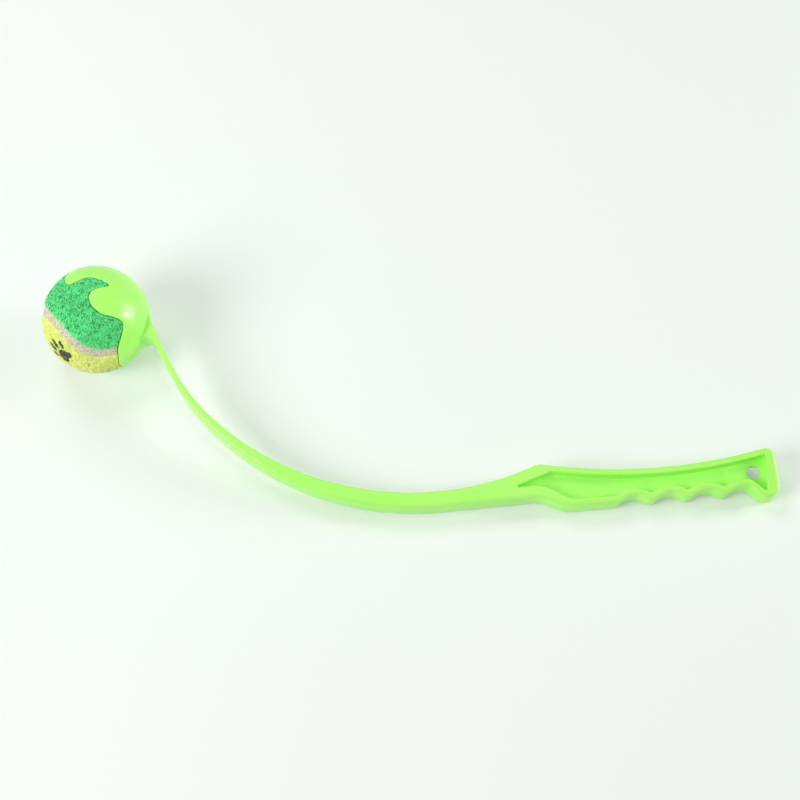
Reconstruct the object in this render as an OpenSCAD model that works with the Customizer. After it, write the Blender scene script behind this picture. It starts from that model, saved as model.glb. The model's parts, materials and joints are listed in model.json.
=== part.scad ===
// Dog ball launcher: a flexing throwing stick with a clawed cup, and the felt ball that the cup holds.
// Lengths are in millimetres and angles in degrees. Z is up.
// The stick is drawn in its own plane with the ball's middle at [0, 0, 0], then laid down as on a table,
// where it rests on the lower side claw of its cup and on the near edge of its handle.

/* [Ball] */
// Diameter of the felt ball over its free nap
ball_d = 64; // [58:0.5:70]
// Height of the free nap, which the cup presses flat
nap_h = 1.3; // [0.5:0.1:2]
// Thickness of the felt with its nap pressed flat
felt_t = 3; // [2:0.1:4]
// Wall of the hollow rubber core
core_t = 4; // [2.5:0.1:6]
// Width of the cement seam between the two felt panels
seam_w = 4.8; // [2:0.1:7]
// Depth of the seam below the face of the pressed felt
seam_drop = 0.3; // [0.2:0.1:1.5]
// Share of the seam's quick wave in its path round the ball
seam_wave = 0.25; // [0.15:0.01:0.3]

/* [Cup] */
// Gap between the pressed felt and the cup
cup_gap = 0.4; // [0.3:0.05:1]
// Wall of the cup
cup_wall = 1.6; // [1.2:0.1:2.4]
// Direction of the cup's mouth in the stick's plane
mouth_turn = 216; // [210:1:222]
// Angle from the mouth's axis to the tips of the leading and trailing claws
claw_tip = 82.5; // [81.5:0.5:87]
// Angle from the mouth's axis to the tips of the two side claws
side_tip = 89; // [86:0.5:93]
// Angle from the mouth's axis to the dip in the middle of the leading claw
lead_floor = 103; // [99:0.5:107]
// Side of the upper notches that is next to the leading claw, round the mouth's axis
notch_from = 62.5; // [59:0.5:65]
// Side of the upper notches that is next to the side claws
notch_to = 86; // [83.5:0.5:88.5]
// Angle from the mouth's axis to the inner end of the upper notches
notch_floor = 118; // [114:0.5:120]
// Middle of the lower notches, round the mouth's axis
scoop_at = 132; // [129:0.5:135]
// Angle from the mouth's axis to the floor of the lower notches
scoop_floor = 106; // [102:0.5:110]
// Radius of the arch between the trailing claw and the stick
arch_r = 5.4; // [4:0.1:6.5]

/* [Stick] */
// Thickness of the stick across its plane
stick_t = 15; // [12:0.5:18]
// Rounding of the stick's long edges
edge_r = 2; // [1:0.1:2.4]
// Radius of the stick's bend
bend_r = 168.5; // [150:0.5:190]
// Direction from the ball's middle to the middle of the bend
bend_turn = 15.6; // [12:0.1:19]
// Depth of the stick's middle line inside the cup's outside, where they run together
neck_sink = 4.3; // [3.3:0.1:5.1]
// Width of the neck, which bends when the ball is thrown
neck_w = 3.2; // [2.6:0.1:4.5]
// Width of the stick in the middle of its bend
shaft_w = 9.6; // [7:0.1:12]

/* [Handle] */
// Length of the handle from the bottom of the bend to the butt
handle_l = 212.5; // [205:0.5:225]
// Width of the rim round the handle's recesses
rim_w = 4.2; // [3:0.1:5]
// Thickness of the web between the two recesses
web_t = 2.6; // [1.6:0.1:4]
// Radius of the hollow along the handle's back
back_r = 307; // [260:1:400]
// Height of the hollow's lowest place above the bottom of the bend's middle line
back_h = 19.1; // [17:0.1:22]
// Number of finger grooves
groove_count = 4; // [3:1:4]
// Distance from one finger groove to the next
groove_pitch = 21.2; // [19:0.1:21.2]
// Depth of the finger grooves
groove_depth = 3.5; // [1:0.1:4]
// Diameter of the hanging hole
hang_d = 8; // [5:0.1:10]

/* [Hidden] */
$fn = 96;

lime = [0.62, 0.95, 0.38];
lime_light = [0.72, 0.97, 0.5];
green_felt = [0.2, 0.82, 0.45];
yellow_felt = [0.88, 0.95, 0.3];
cement = [0.8, 0.74, 0.64];
rubber = [0.3, 0.3, 0.3];

// Radii from the ball's middle outward, with the nap pressed flat
ball_r = ball_d / 2 - nap_h;
core_r = ball_r - felt_t;
cup_in_r = ball_r + cup_gap;
cup_out_r = cup_in_r + cup_wall;
// A radius well clear of the cup, for the cones that cut it and the felt
clear_r = 3 * cup_out_r;

// Turn of the ball in the cup, which brings its seam round to the open side
ball_turn = [-77, -46, 40];
seam_steps = 96;

// Directions of the cup's mouth and of its leading claw
mouth = [cos(mouth_turn), sin(mouth_turn), 0];
lead = [sin(mouth_turn), -cos(mouth_turn), 0];
// Middle of the side claws, round the mouth's axis
side_at = 99;
// Marks along one side of the cup's rim, from the leading claw to the trailing claw:
// an angle round the mouth's axis and an angle from it
rim_marks = [
    [0, lead_floor],
    [14, lead_floor - 1.6],
    [25, lead_floor - 5.6],
    [34, claw_tip + 9.8],
    [39, claw_tip + 5],
    [44, claw_tip + 1.6],
    [notch_from - 9, claw_tip - 0.3],
    [notch_from - 3.2, claw_tip + 1.2],
    [notch_from - 1.3, claw_tip + 3.6],
    [notch_from - 0.5, claw_tip + 9],
    [notch_from + 0.2, claw_tip + 16],
    [notch_from + 3.2, claw_tip + 24],
    [notch_from + 13, notch_floor - 4],
    [notch_to - 5.4, notch_floor - 1.4],
    [notch_to - 2, notch_floor],
    [notch_to - 0.6, notch_floor - 3],
    [notch_to + 0.1, notch_floor - 13.5],
    [notch_to + 1.1, side_tip + 4.8],
    [notch_to + 5, side_tip + 1.5],
    [side_at, side_tip],
    [scoop_at - 21, side_tip + 3.2],
    [scoop_at - 11.7, scoop_floor - 5.6],
    [scoop_at - 3.3, scoop_floor - 0.2],
    [scoop_at + 4.6, scoop_floor - 1.1],
    [scoop_at + 12.5, scoop_floor - 8.4],
    [scoop_at + 22, claw_tip + 6.8],
    [scoop_at + 37, claw_tip + 1.7],
    [180, claw_tip + 0.2]];
rim_steps = 4;
// Turn of the cup's spheres round the mouth's axis, which keeps their seam between two points of the rim
seam_turn = 99;

// Places along the bend, as angles round its middle
root_at = -152;
neck_at = -146;
flex_end = -124;
full_at = -86;
straight_at = -84;
grip_at = -78;
shaft_step = 1.5;
// Draw of the stick's middle line towards the middle of the bend, from the hinge to the root
root_draw = 1.8;
draw_from = (root_at + flex_end) / 2;

// Middle of the bend, and the bottom of its middle line, from which the handle is measured
bend_mid = (bend_r + cup_out_r - neck_sink) * [cos(bend_turn), sin(bend_turn)];
bend_low = bend_mid - [0, bend_r];

// Places along the handle
back_at = 118;
shoulder_end = 95;
shoulder_soft = 2;
belly_from = 70;
belly_at = 93;
belly_end = 93;
belly_drop = 3.7;
grip_rise = 0.088;
groove_from = handle_l - 94.8;
groove_broad = 0.16;
butt_from = handle_l - 18.5;
butt_end = handle_l - 6.5;
butt_drop = 4.4;
butt_top_r = 5;
butt_low_r = 8;
butt_lean = 5;
butt_inset = 2;
tip_u = 61.5;
tip_v = 8.6;
tip_slope = 0.44;
tip_rim = 7;
tip_rim_from = 77.5;
tip_rim_end = 98;
wall_u = handle_l - 6.5;
hang_at = [handle_l - 13, 18.2];
grip_step = 2;
rim_looks = 8;
belly_foot_at = 95;

// Steps in a rounded edge, and the greatest share of the stick's width that it takes
round_steps = 3;
edge_share = 0.42;

// Rises smoothly from 0 at from to 1 at to
function ease(from, to, x) =
    let (t = min(max((x - from) / (to - from), 0), 1))
    t * t * (3 - 2 * t);

// The lesser of two heights, with the corner between them softened
function soft_min(a, b, soft) =
    let (h = max(soft - abs(a - b), 0) / soft)
    min(a, b) - h * h * soft / 4;

function unit(v) = v / norm(v);

// Direction on the cup at an angle from the mouth's axis and an angle round it from the leading claw
function aim(polar, round) =
    cos(polar) * mouth + sin(polar) * (cos(round) * lead + sin(round) * [0, 0, 1]);

// A mark of the cup's rim. Before the first and after the last, the marks are mirrored in the stick's plane.
function rim_mark(i) =
    let (last = len(rim_marks) - 1)
    i < 0 ? [-rim_marks[-i].x, rim_marks[-i].y]
    : i > last ? [360 - rim_marks[2 * last - i].x, rim_marks[2 * last - i].y]
    : rim_marks[i];

// Smooth line through the marks: the point at a share of the way from one mark to the next
function rim_point(i, way) =
    let (a = rim_mark(i - 1), b = rim_mark(i), c = rim_mark(i + 1), d = rim_mark(i + 2))
    b + way / 2 * (c - a + way * (2 * a - 5 * b + 4 * c - d + way * (3 * b - a - 3 * c + d)));

// Seam of the ball: one edge of the band, half its width to one side of a tennis-ball curve
function seam_middle(t) =
    let (slow = 1 - seam_wave)
    unit([slow * cos(t) + seam_wave * cos(3 * t),
          slow * sin(t) - seam_wave * sin(3 * t),
          2 * sqrt(slow * seam_wave) * sin(2 * t)]);
function seam_edge(t, side) =
    let (middle = seam_middle(t),
         along = unit(seam_middle(t + 0.5) - seam_middle(t - 0.5)),
         half_angle = seam_w / 2 / ball_r * 180 / PI)
    cos(half_angle) * middle + side * sin(half_angle) * cross(middle, along);

// Stick along its bend
function bend_point(a, r) = bend_mid + r * [cos(a), sin(a)];
function line_r(a) = bend_r - root_draw * ease(draw_from, root_at, a);
function stick_w(a) =
    neck_w + (shaft_w - neck_w) * sin(90 * min(max((a - neck_at) / (full_at - neck_at), 0), 1));
function edge_at(a) = min(edge_r, edge_share * stick_w(a));
// Radius of the front edge, which leaves the bend at straight_at and runs straight on to the belly
function front_r(a) = (line_r(a) + stick_w(a) / 2) / cos(max(a - straight_at, 0));

// Back and front of the handle, as heights over the distance from the bottom of the bend
function bend_height(u, r) = bend_r - sqrt(r * r - u * u);
function back_height(u) = back_h + back_r - sqrt(back_r * back_r - (u - back_at) * (u - back_at));
function far_v(u) =
    u > shoulder_end ? back_height(u)
    : soft_min(bend_height(u, bend_r - shaft_w / 2), back_height(u), shoulder_soft);
function groove(u) =
    let (turn = 360 * (u - groove_from) / groove_pitch)
    turn < 0 || turn > 360 * groove_count ? 0
    : groove_depth * ((1 - cos(turn)) + groove_broad * (1 - cos(2 * turn))) / 2;
function straight_line(u) = bend_r + (bend_r + shaft_w / 2 - u * cos(straight_at)) / sin(straight_at);
function front_line(u) = grip_rise * (u - belly_at) - belly_drop;
function near_v(u) =
    let (share = ease(belly_from, belly_end, u))
    (1 - share) * straight_line(u) + share * front_line(u)
    + groove(u) - butt_drop * ease(butt_from, butt_end, u);
function slope(f_next, f_last, gap) = atan((f_next - f_last) / gap);

// Edges of the recesses, which run beside the handle's edges at the width of the rim
function front_rim(u) = tip_rim + (rim_w - tip_rim) * ease(tip_rim_from, tip_rim_end, u);
function recess_far(u) = min(far_v(u) - rim_w, tip_v + tip_slope * (u - tip_u));
function recess_near(u) =
    let (w = front_rim(u))
    max([for (i = [-rim_looks : rim_looks])
        let (d = i / rim_looks)
        near_v(u + d * w) + w * sqrt(1 - d * d)]);

// Points inward of an outline that runs anticlockwise, square to it
function inward_of(points) =
    let (n = len(points))
    [for (i = [0 : n - 1])
        let (along = unit(points[(i + 1) % n] - points[(i + n - 1) % n]))
        [-along.y, along.x]];

// Plate as thick as the stick, with its long edges rounded by a radius at each point of its outline.
// The outline runs anticlockwise along one side and back along the other, with a point opposite each point.
module rounded_plate(points, inward, radius) {
    n = len(points);
    turns = [for (k = [0 : round_steps]) 90 * k / round_steps];
    low = [for (t = turns) [1 - sin(t), -1, 1 - cos(t)]];
    rings = concat(low, [for (k = [round_steps : -1 : 0]) [low[k][0], 1, -low[k][2]]]);
    last = len(rings) - 1;
    corners = [for (ring = rings, i = [0 : n - 1])
        let (flat = points[i] + radius[i] * ring[0] * inward[i])
        [flat.x, flat.y, ring[1] * stick_t / 2 + radius[i] * ring[2]]];
    sides = [for (k = [0 : last - 1], i = [0 : n - 1])
        let (a = k * n + i, b = k * n + (i + 1) % n)
        each [[a, a + n, b + n], [a, b + n, b]]];
    floor_face = [for (i = [0 : n / 2 - 2])
        let (a = i, b = i + 1, c = n - 2 - i, d = n - 1 - i)
        each [[a, b, c], [a, c, d]]];
    top_face = [for (f = floor_face) [f[2], f[1], f[0]] + last * n * [1, 1, 1]];
    polyhedron(corners, concat(floor_face, sides, top_face));
}

// Stretch of the bend between two angles, with flat ends
module bend_stretch(from, to) {
    steps = ceil((to - from) / shaft_step);
    angles = [for (i = [0 : steps]) from + (to - from) * i / steps];
    back = [for (i = [steps : -1 : 0]) angles[i]];
    points = concat([for (a = angles) bend_point(a, front_r(a))],
                    [for (a = back) bend_point(a, line_r(a) - stick_w(a) / 2)]);
    inward = concat([for (a = angles) -[cos(a), sin(a)]], [for (a = back) [cos(a), sin(a)]]);
    radius = concat([for (a = angles) edge_at(a)], [for (a = back) edge_at(a)]);
    rounded_plate(points, inward, radius);
}

// Lays the stick on the table. The three resting places are the tip of the lower side claw
// and the flat's edge at the handle's belly and at its butt.
claw_foot = cup_out_r * aim(side_tip, -side_at);
function front_foot(u) = [bend_low.x + u, bend_low.y + near_v(u) + edge_r, -stick_t / 2];
belly_foot = front_foot(belly_foot_at);
butt_foot = front_foot(handle_l - butt_low_r);
up = unit(cross(belly_foot - claw_foot, butt_foot - claw_foot));
box_x = (bend_low.x + handle_l - ball_r) / 2;
box_y = (cup_out_r + (bend_low.y - shaft_w / 2) * up.z - stick_t / 2 * up.y) / 2;
module lay_down() {
    translate([-box_x, -box_y, -up * claw_foot])
    rotate(a = acos(up.z), v = cross(up, [0, 0, 1]))
    children();
}

// Handle: an I-section grip with a recess in each face, finger grooves and a hanging hole
module grip_handle() {
    far_start = bend_r - shaft_w / 2;
    near_start = front_r(grip_at);
    u_far = far_start * cos(grip_at);
    u_near = near_start * cos(grip_at);
    u_top = handle_l - butt_top_r - butt_inset;
    u_low = handle_l - butt_low_r;
    top_slope = slope(far_v(u_top + 1), far_v(u_top - 1), 2);
    low_slope = slope(near_v(u_low + 1), near_v(u_low - 1), 2);
    top_mid = [u_top, far_v(u_top)] + butt_top_r * [sin(top_slope), -cos(top_slope)];
    low_mid = [u_low, near_v(u_low)] + butt_low_r * [-sin(low_slope), cos(low_slope)];
    steps = ceil((u_low - u_near) / grip_step);
    corner_steps = 8;
    near_edge = [for (i = [0 : steps - 1])
        let (u = u_near + (u_low - u_near) * i / steps) [u, near_v(u)]];
    low_corner = [for (i = [0 : corner_steps])
        let (a = low_slope - 90 + (butt_lean + 90 - low_slope) * i / corner_steps)
        low_mid + butt_low_r * [cos(a), sin(a)]];
    top_corner = [for (i = [0 : corner_steps])
        let (a = butt_lean + (90 + top_slope - butt_lean) * i / corner_steps)
        top_mid + butt_top_r * [cos(a), sin(a)]];
    far_edge = [for (i = [1 : steps])
        let (u = u_top + (u_far - u_top) * i / steps) [u, far_v(u)]];
    flat = concat(near_edge, low_corner, top_corner, far_edge);
    last = len(flat) - 1;
    points = [for (p = flat) bend_low + p];
    square = inward_of(points);
    spoke = [cos(grip_at), sin(grip_at)];
    inward = [for (i = [0 : last]) i == 0 ? -spoke : i == last ? spoke : square[i]];
    recess_steps = ceil((wall_u - tip_u) / grip_step);
    recess_at = [for (i = [0 : recess_steps]) tip_u + (wall_u - tip_u) * i / recess_steps];
    recess = concat([for (u = recess_at) [u, recess_near(u)]],
                    [for (i = [recess_steps : -1 : 0]) [recess_at[i], recess_far(recess_at[i])]]);
    color(lime)
    difference() {
        rounded_plate(points, inward, [for (p = points) edge_r]);
        for (floor_z = [web_t / 2, -web_t / 2 - stick_t])
            translate([bend_low.x, bend_low.y, floor_z])
            linear_extrude(stick_t)
            polygon(recess);
        translate([bend_low.x + hang_at.x, bend_low.y + hang_at.y, -stick_t])
        cylinder(d = hang_d, h = 2 * stick_t);
    }
}

module curved_shaft() {
    color(lime) bend_stretch(flex_end, grip_at);
}

// Thin leaf that bends when the ball is thrown
module flex_neck() {
    color(lime) bend_stretch(root_at, flex_end);
}

// Ball with its poles on the mouth's axis and its own seam between two points of the rim
module mouth_sphere(r) {
    rotate([0, 90, mouth_turn])
    rotate(seam_turn)
    sphere(r);
}

// Cup: a spherical shell whose rim is notched into four claws, with the root of the neck on its back
module ball_cup() {
    spans = len(rim_marks) - 1;
    one_side = [for (i = [0 : spans - 1], k = [0 : rim_steps - 1]) rim_point(i, k / rim_steps)];
    other_side = [for (i = [len(one_side) - 1 : -1 : 1]) [-one_side[i].x, one_side[i].y]];
    rim = concat(one_side, [rim_marks[spans]], other_side);
    count = len(rim);
    cone_points = concat([[0, 0, 0], clear_r * mouth],
                         [for (p = rim) clear_r * aim(p.y, p.x)]);
    cone_faces = [for (i = [0 : count - 1])
        let (j = (i + 1) % count)
        each [[0, 2 + j, 2 + i], [1, 2 + i, 2 + j]]];
    color(lime_light)
    union() {
        difference() {
            mouth_sphere(cup_out_r);
            mouth_sphere(cup_in_r);
            polyhedron(cone_points, cone_faces);
        }
        neck_root();
    }
}

// Root of the neck: it runs on to the cup's back, with an arch beside the trailing claw.
// Its arch and its far edge end inside the cup's wall, and its blunt side lies deeper in the wall.
module neck_root() {
    foot_depth = 0.4;
    sunk_depth = 0.2;
    foot_r = cup_in_r + foot_depth * cup_wall;
    sunk_r = cup_in_r + sunk_depth * cup_wall;
    top_turn = 12;
    steps = 8;
    near_r = line_r(root_at) + stick_w(root_at) / 2;
    far_r = line_r(root_at) - stick_w(root_at) / 2;
    mid_gap = norm(bend_mid);
    arch_gap = foot_r + arch_r;
    near_gap = near_r + arch_r;
    arch_turn = bend_turn
        - acos((arch_gap * arch_gap + mid_gap * mid_gap - near_gap * near_gap) / (2 * arch_gap * mid_gap));
    arch_mid = arch_gap * [cos(arch_turn), sin(arch_turn)];
    to_bend = bend_mid - arch_mid;
    bend_side = atan2(to_bend.y, to_bend.x);
    near_end = bend_side - 180;
    near_edge = [for (i = [0 : steps])
        bend_point(root_at + (near_end - root_at) * i / steps, near_r)];
    arch = [for (i = [1 : steps])
        let (a = bend_side + (arch_turn + 180 - bend_side) * i / steps)
        arch_mid + arch_r * [cos(a), sin(a)]];
    sunk = [for (i = [0 : steps])
        let (a = arch_turn + (top_turn - arch_turn) * i / steps)
        sunk_r * [cos(a), sin(a)]];
    far_root = bend_point(root_at, far_r);
    far_way = [sin(root_at), -cos(root_at)];
    top = foot_r * [cos(top_turn), sin(top_turn)];
    top_way = [-sin(top_turn), cos(top_turn)];
    reach = ((top.x - far_root.x) * top_way.y - (top.y - far_root.y) * top_way.x)
        / (far_way.x * top_way.y - far_way.y * top_way.x);
    knee = far_root + reach * far_way;
    far_edge = [for (i = [2 * steps : -1 : 0])
        let (t = i / (2 * steps))
        (1 - t) * (1 - t) * far_root + 2 * t * (1 - t) * knee + t * t * top];
    translate([0, 0, -stick_t / 2])
    linear_extrude(stick_t)
    polygon(concat(near_edge, arch, sunk, far_edge));
}

// One half of the rubber core, on one side of the ball's own middle plane
module core_half(side) {
    rotate(ball_turn)
    difference() {
        sphere(core_r);
        sphere(core_r - core_t);
        translate([0, 0, -side * ball_d / 2])
        cube(ball_d, center = true);
    }
}

module core_half_a() {
    color(rubber) core_half(1);
}

module core_half_b() {
    color(rubber) core_half(-1);
}

// Cone from the ball's middle through one edge of the seam, over the panel on that side
module panel_cone(side) {
    ring = [for (i = [0 : seam_steps - 1])
        clear_r * seam_edge(-45 * side + 360 * i / seam_steps, side)];
    points = concat([[0, 0, 0]], ring);
    half = seam_steps / 2;
    flank = [for (i = [0 : seam_steps - 1]) [0, 1 + i, 1 + (i + 1) % seam_steps]];
    roof = [for (i = [0 : half - 1])
        let (a = 1 + i, b = 2 + i, c = seam_steps - i, d = 1 + (seam_steps - i) % seam_steps)
        each i == 0 ? [[a, c, b]] : i == half - 1 ? [[a, d, b]] : [[a, c, b], [a, d, c]]];
    faces = concat(flank, roof);
    polyhedron(points, side > 0 ? faces : [for (f = faces) [f[2], f[1], f[0]]]);
}

module felt_panel(side) {
    rotate(ball_turn)
    intersection() {
        difference() {
            sphere(ball_r);
            sphere(core_r);
        }
        panel_cone(side);
    }
}

module felt_green() {
    color(green_felt) felt_panel(1);
}

module felt_yellow() {
    color(yellow_felt) felt_panel(-1);
}

// Band of cement between the panels
module felt_seam() {
    color(cement)
    rotate(ball_turn)
    difference() {
        sphere(ball_r - seam_drop);
        sphere(core_r);
        panel_cone(1);
        panel_cone(-1);
    }
}

lay_down() grip_handle();
lay_down() curved_shaft();
lay_down() flex_neck();
lay_down() ball_cup();
lay_down() core_half_a();
lay_down() core_half_b();
lay_down() felt_green();
lay_down() felt_yellow();
lay_down() felt_seam();
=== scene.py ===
"""Dog ball launcher: a lime throwing stick with a clawed cup, and the two-coloured felt ball in the cup.

The stick is one moulding, and the real stick bends at its neck. The ball has two felt panels and a cement
seam.
Lengths are in metres. The stick's own plane has the ball's middle at (0, 0), as in the CAD source.
"""

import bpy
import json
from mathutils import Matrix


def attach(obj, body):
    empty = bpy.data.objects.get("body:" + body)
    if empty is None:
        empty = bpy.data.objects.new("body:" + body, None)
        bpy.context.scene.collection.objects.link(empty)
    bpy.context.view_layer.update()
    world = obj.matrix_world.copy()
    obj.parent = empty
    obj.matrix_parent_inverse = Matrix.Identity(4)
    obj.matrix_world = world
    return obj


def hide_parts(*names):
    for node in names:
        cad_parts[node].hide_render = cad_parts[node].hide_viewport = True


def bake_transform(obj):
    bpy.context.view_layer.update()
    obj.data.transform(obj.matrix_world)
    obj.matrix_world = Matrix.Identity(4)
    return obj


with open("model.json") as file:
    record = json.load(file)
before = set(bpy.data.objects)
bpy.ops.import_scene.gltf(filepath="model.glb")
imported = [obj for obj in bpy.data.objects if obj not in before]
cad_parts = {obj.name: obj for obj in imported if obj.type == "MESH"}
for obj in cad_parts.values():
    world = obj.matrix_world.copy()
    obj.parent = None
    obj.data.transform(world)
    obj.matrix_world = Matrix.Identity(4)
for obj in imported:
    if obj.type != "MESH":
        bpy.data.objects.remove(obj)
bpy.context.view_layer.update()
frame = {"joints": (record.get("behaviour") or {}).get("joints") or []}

import json
import math

import bpy
import numpy as np
from mathutils import Matrix, Vector, kdtree, noise

bl_info = {
    "name": "Ball launcher",
    "version": (1, 0, 0),
    "blender": (4, 5, 0),
    "location": "View3D > Sidebar > Launcher",
    "description": "Models a dog ball launcher and its felt ball round the packed CAD frame",
    "category": "Mesh",
}

MM = 0.001
JOINTS = {joint["name"]: joint for joint in frame["joints"]}

# Places along the bend, as angles in degrees round its middle
ROOT_AT = -152  # the stick leaves the cup
NECK_AT = -146  # the stick begins to widen
FLEX_END = -124  # the neck ends
FULL_AT = -86  # the shaft has its full width
STRAIGHT_AT = -84  # the front edge leaves the bend and runs straight
GRIP_AT = -78  # the handle begins
PIVOT_AT = (ROOT_AT + FLEX_END) / 2  # the hinge, in the middle of the neck

# Root of the stick in the cup
ROOT_DRAW = 1.8 * MM  # draw of the middle line towards the middle of the bend, from the hinge to the root
ROOT_FOOT = 0.4  # share of the cup's wall, from its inside, at which the foot lies
ROOT_SUNK = 0.2  # share of the cup's wall, from its inside, at which the sunk end lies
ROOT_TOP_AT = 12  # place of the root's top on the cup, in degrees

# Mesh of the stick
CORNER_STEPS = 10  # rungs round a corner
RUNG_STEP = 1.4 * MM  # distance from rung to rung along the handle
EDGE_SEGMENTS = 6  # faces across a rounded edge
EDGE_SHARE = 0.42  # greatest share of the stick's width that a rounding takes
RECESS_PROBES = 17  # places that measure the rim's width at one place of the recess
LEVEL = 0.5  # least upright part of a level face's normal
SHARP_CORNER = 40  # corners of more degrees than this stay sharp in the shading

# Places along the handle from the bottom of the bend, or from the butt's end for the grooves, butt and hole
BACK_AT = 118 * MM  # lowest place of the back's hollow
SHOULDER_END = 95 * MM  # the back is all hollow from here
SHOULDER_SOFT = 2 * MM  # softness of the corner between the bend and the hollow
BELLY_FROM = 70 * MM  # the front begins to leave its straight line
BELLY_END = 93 * MM  # the front is on the grip's line
BELLY_AT = 93 * MM  # place at which the grip's line has the belly's drop
BELLY_DROP = 3.7 * MM  # depth of the grip's line there, below the bottom of the bend
GRIP_RISE = 0.088  # slope of the grip's line
GROOVES_LENGTH = 94.8 * MM  # start of the finger grooves
GROOVE_BROAD = 0.16  # share of the quick wave that broadens the grooves
BUTT_FROM = 18.5 * MM  # start of the drop of the front at the butt
BUTT_END = 6.5 * MM  # end of that drop, and of the recess
BUTT_DROP = 4.4 * MM  # depth of that drop
BUTT_TOP_R = 5 * MM  # radius of the butt's back corner
BUTT_LOW_R = 8 * MM  # radius of the butt's front corner
BUTT_INSET = 2 * MM  # how far the back corner stands in
BUTT_LEAN = 5  # lean of the butt's end in degrees
TIP_U = 61.5 * MM  # place of the recess's pointed tip along the handle
TIP_V = 8.6 * MM  # height of that tip
TIP_SLOPE = 0.44  # slope of the recess's back edge from the tip
TIP_RIM = 7 * MM  # width of the front rim at the tip
TIP_RIM_FROM = 77.5 * MM  # the front rim begins to narrow
TIP_RIM_END = 98 * MM  # the front rim has its named width
HANG_BACK = 13 * MM  # middle of the hanging hole
HANG_UP = 18.2 * MM  # height of the hanging hole

# Edges of the hanging hole
HOLE_SIDES = 64
HOLE_EDGE_R = 0.35 * MM
HOLE_SEGMENTS = 3
HOLE_NEAR = 0.01 * MM  # how near to the hole's wall a point belongs to it

# Marks that the mould's pins left in the handle's upper recess
PIN_MARKS = ((84.1, 12.1), (178.7, 17.2))  # places along and across the handle in millimetres
PIN_MARK_R = 2.6 * MM
PIN_MARK_DEPTH = 0.3 * MM
PIN_MARK_SIDES = 48

# Cup
SIDE_AT = 99  # middle of the side claws in degrees, round the mouth's axis
RIM_STEPS = 90  # points of the rim from mark to mark
RIM_JOIN = 0.2 * MM  # gap at which two points of the rim are joined
CUP_CELLS = 64  # squares of the cup's mesh along a cube's edge
LIP_CORNER = 60  # least corner, in degrees, that the lip's rounding takes
LIP_SEGMENTS = 4  # faces across the rounded lip

# Felt
BALL_TURN = (-77, -46, 40)  # turn of the ball in the cup in degrees, round X, then Y, then Z of the stick
FELT_CELLS = 64  # squares of a panel's mesh along a cube's edge
FELT_PRESSED = 0.1 * MM  # height over the ball's radius under the cup
FELT_FREE = 0.5 * MM  # width in which the felt swells at the cup's rim
FELT_ROLL = 1.8 * MM  # width in which the felt rolls down at the seam
FELT_SUNK = 0.15 * MM  # depth of a panel's edge below the cement
FELT_BULGE = 0.4 * MM  # height of the bulge along the cup's rim
FELT_BULGE_W = 2.5 * MM  # width of that bulge
PRESSED_TUFTS = 0.25  # share of the tufts that shows under the cup
BASE_NAP_PAINTED_SHADE = 0.7  # brightness between the strands, painted below that of the strands as shade in the gaps
RIM_PAINTED_SHADE = 0.8 * MM  # width of the painted shade, a dark line on the felt along the cup's rim

# Edges of the panels: the side of the seam, how far the edge stands back from it, and how far it wavers
PANEL_EDGES = {"felt_green": (1, -0.5 * MM, -0.7 * MM), "felt_yellow": (-1, 1.3 * MM, 1.1 * MM)}
EDGE_WAVES = 8  # waves along the whole seam
EDGE_WAVE_AT = math.radians(284)  # place of a wave's crest along the seam

# Cement of the seam
SEAM_SAMPLES = 2880  # points of its path
SEAM_STEPS = 960  # steps of its mesh along the path
SEAM_LANES = 14  # steps of its mesh across the path
SEAM_TUCK = 0.9  # share of its width that runs on under each panel
SEAM_SWELL = 1.1 * MM  # rise in the cup's mouth
SEAM_GRAIN = 0.12 * MM  # height of its grain
SEAM_GRAINS = 60  # fineness of its grain
SEAM_DIP = 0.9 * MM  # depth of its dip under the felt
SEAM_DIP_IN = 0.8 * MM  # width in which it dips
SEAM_JOIN = 0.001 * MM  # gap at which its two ends are joined

# Strands of the nap
STRAND_RINGS = 3
STRAND_SIDES = 3
STRAND_RISE = (-0.5, 0.6, 1, 0.3)  # heights from the root to the tip, as shares of the crest's
STRAND_TAPER = (0.8, 1, 0.8)  # widths of the rings, as shares of the strand's
STRAND_PAINTED_SHADES = (0.7, 1, 1, 1)  # brightness from the root to the tip, as shares of the strand's, darker at the root as painted shade where the strand goes into the felt
STRAND_LENGTHS = (0.6, 1.2)  # least and greatest length, as shares of the named one
STRAND_HEIGHTS = (0.5, 1.2)  # least and greatest height, as shares of the panel's
STRAND_WIDTHS = (0.7, 1.2)  # least and greatest width, as shares of the named one
STRAND_LIFT = {"felt_green": 1, "felt_yellow": 0.4}  # each panel's share of the named height
STRAND_CURL = 1.1  # greatest turn from ring to ring in radians
STRAND_DEEP = 0.27  # share of strands that are deep in colour
DEEP_NAP = (0.0, 0.3)  # least and greatest brightness of the deep strands
BRIGHT_NAP = (0.9, 1)  # least and greatest brightness of the others
STRAND_TRIES = 9  # tries at placing a strand for each that is wanted
STRAND_SEED = 2  # the panel's side of the seam is added to it

# Print on the yellow felt
PRINT_AIM = (-0.512, -0.819, 0.258)  # direction of its middle in the stick's own frame
PRINT_TOES = (-0.797, 0.539, 0.273)  # direction from its middle to its toes
PRINT_PADS = (  # each pad's middle, two half widths and turn in degrees, in millimetres
    (0, 0.3, 4.4, 3.7, 0),
    (-2.7, -1.8, 2.9, 2.5, 25),
    (2.7, -1.8, 2.9, 2.5, -25),
    (-6.0, 4.6, 1.4, 2.9, 24),
    (-2.2, 8.2, 1.5, 3.5, 7),
    (2.2, 8.2, 1.5, 3.5, -7),
    (6.0, 4.6, 1.4, 2.9, -24),
)
PRINT_WAVER = 0.35 * MM  # how far its outline wavers
PRINT_GRAIN = 1800  # scale of its grain
PRINT_EDGE = (1.08, 0.92)  # edge in which a pad's ink fades in, as shares of the pad
PRINT_WORN = 0.88  # ink where the print is most worn

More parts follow.
